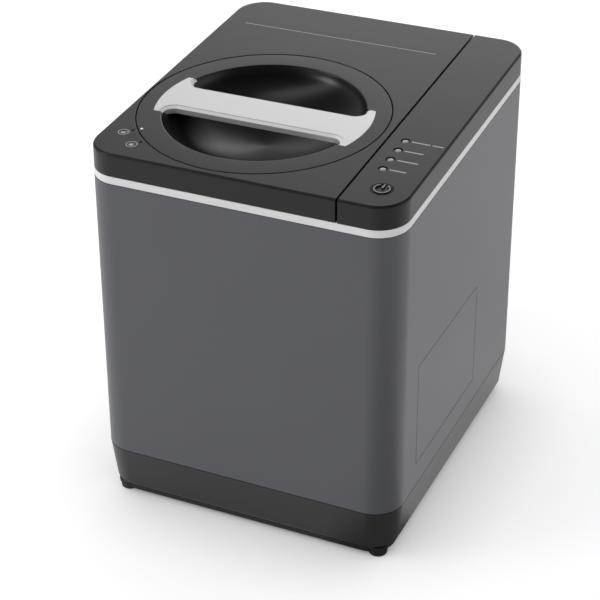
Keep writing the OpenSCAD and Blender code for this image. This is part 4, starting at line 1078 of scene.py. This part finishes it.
key = [(0, -DISH), (SIGN - 0.1, -DISH), (SIGN, -MOAT), (MOAT_OUT, -MOAT), (MOAT_OUT, -0.2)]
key += [(MOAT_OUT + 0.2, 0), (BUTTON - 0.2, 0), (BUTTON, -0.2), (BUTTON, -2.6)]
key += [(KEY_COLLAR, -2.6), (KEY_COLLAR, -4), (0, -4)]
button = lathe("power_key", key, 72)
sign_ring = [(SIGN_IN, -DISH - 0.1), (SIGN, -DISH - 0.1), (SIGN, SIGN_HIGH - 0.2), (SIGN - 0.2, SIGN_HIGH)]
sign_ring += [(SIGN_IN + 0.2, SIGN_HIGH), (SIGN_IN, SIGN_HIGH - 0.2)]
sign = lathe("sign", sign_ring, 72)
gap = [(0, 0), (20 * sin(SIGN_GAP), 20 * cos(SIGN_GAP)), (-20 * sin(SIGN_GAP), 20 * cos(SIGN_GAP))]
cut(sign, plate("gap", gap, -2, 3))
stroke = block("stroke", (-SIGN_WIDE / 2, STROKE_LOW, -DISH - 0.1), (SIGN_WIDE / 2, SIGN, SIGN_HIGH))
pick(stroke, "EDGE", lambda edge: all(end.z > 0 for end in ends(edge)))
round_off(0.2, 1)
close()
stem = lathe("stem", [(0, -3.9), (STEM, -3.9), (STEM, -8.9), (0, -8.9)], 32)
power = gather("power_button_key", [button, stem, sign, stroke])
lay_on_top(power, *BUTTON_PLACE)
button_plastic = moulded("button plastic", grey(0.012), 0.36, 0.8 * MM, shine=0.3)
finish(power, "button", "button_plastic", button_plastic, "power_button")
sign_grey = moulded("sign grey", grey(0.2), 0.4, 0.8 * MM)
sign_painted_shade = moulded("sign painted shade", grey(0.002), 0.5, 0.8 * MM, shine=0.1)


def on_sign(face):
    return height(face.center) > SIGN_HIGH - 0.15


def beside_sign(face):
    steep = face.normal.dot(TOP_UP) < 0.7
    return steep and not on_sign(face) and aside(face, *BUTTON_PLACE).length < SIGN + 0.1


paint(power, sign_grey, on_sign)
# The steep faces of the sign and beside it are painted near black, a painted shade.
paint(power, sign_painted_shade, beside_sign)

# Prints.
# Thin films of pale ink on the cap: a line across the back of the lid, a ring
# with a padlock by each dimple, and a plain bar beside each lamp.
INK = 0.04
ink = moulded("pale ink", grey(0.42), 0.5, 0.5 * MM, 0.005 * MM)


def print_on_top(name, outlines, body):
    """Films of ink over outlines on the sloping top."""
    films = [plate("film", outline, -INK / 2, INK) for outline in outlines]
    printed = lay_on_top(gather(name, films))
    return finish(printed, body, "mark_white", ink)


def strip(x, y, outer, inner, start, end, steps):
    """The outline of a curved stroke."""
    return arc((x, y), outer, start, end, steps) + arc((x, y), inner, end, start, steps)


def bar_of_ink(x0, x1, y, wide):
    """The outline of a straight stroke with round ends."""
    r = wide / 2
    return arc((x1 - r, y), r, -pi / 2, pi / 2, 6) + arc((x0 + r, y), r, pi / 2, 3 * pi / 2, 6)


def padlock(x, y, shift):
    """The outlines of a padlock in a ring, its shackle moved aside by a shift."""
    body = [(x - 1.9, y - 2.4), (x + 1.9, y - 2.4), (x + 1.9, y + 0.4), (x - 1.9, y + 0.4)]
    shackle = strip(x + shift, y + 0.3, 1.45, 0.85, 0, pi, 12)
    return [strip(x, y, 4.9, 4.25, 0, 2 * pi - 0.01, 48), body, shackle]


LINE = (-119, 69, 108, 0.8)
OPEN_SIGN = (-120.9, -121.6, 2.3)
LOCKED_SIGN = (-104.4, -138.2, 0)
LAMP_BARS = ((0, 108.2, 124.4), (0, 126.0, 136.0), (1, 108.2, 124.8), (2, 108.2, 126.4), (3, 108.2, 122.6))
LAMP_BAR_WIDE = 1.5
print_on_top("lid_print", [bar_of_ink(*LINE)] + padlock(*OPEN_SIGN) + padlock(*LOCKED_SIGN), "lid")
bars = [bar_of_ink(start, end, lamp_places[row][1], LAMP_BAR_WIDE) for row, start, end in LAMP_BARS]
print_on_top("console_print", bars, "chassis")
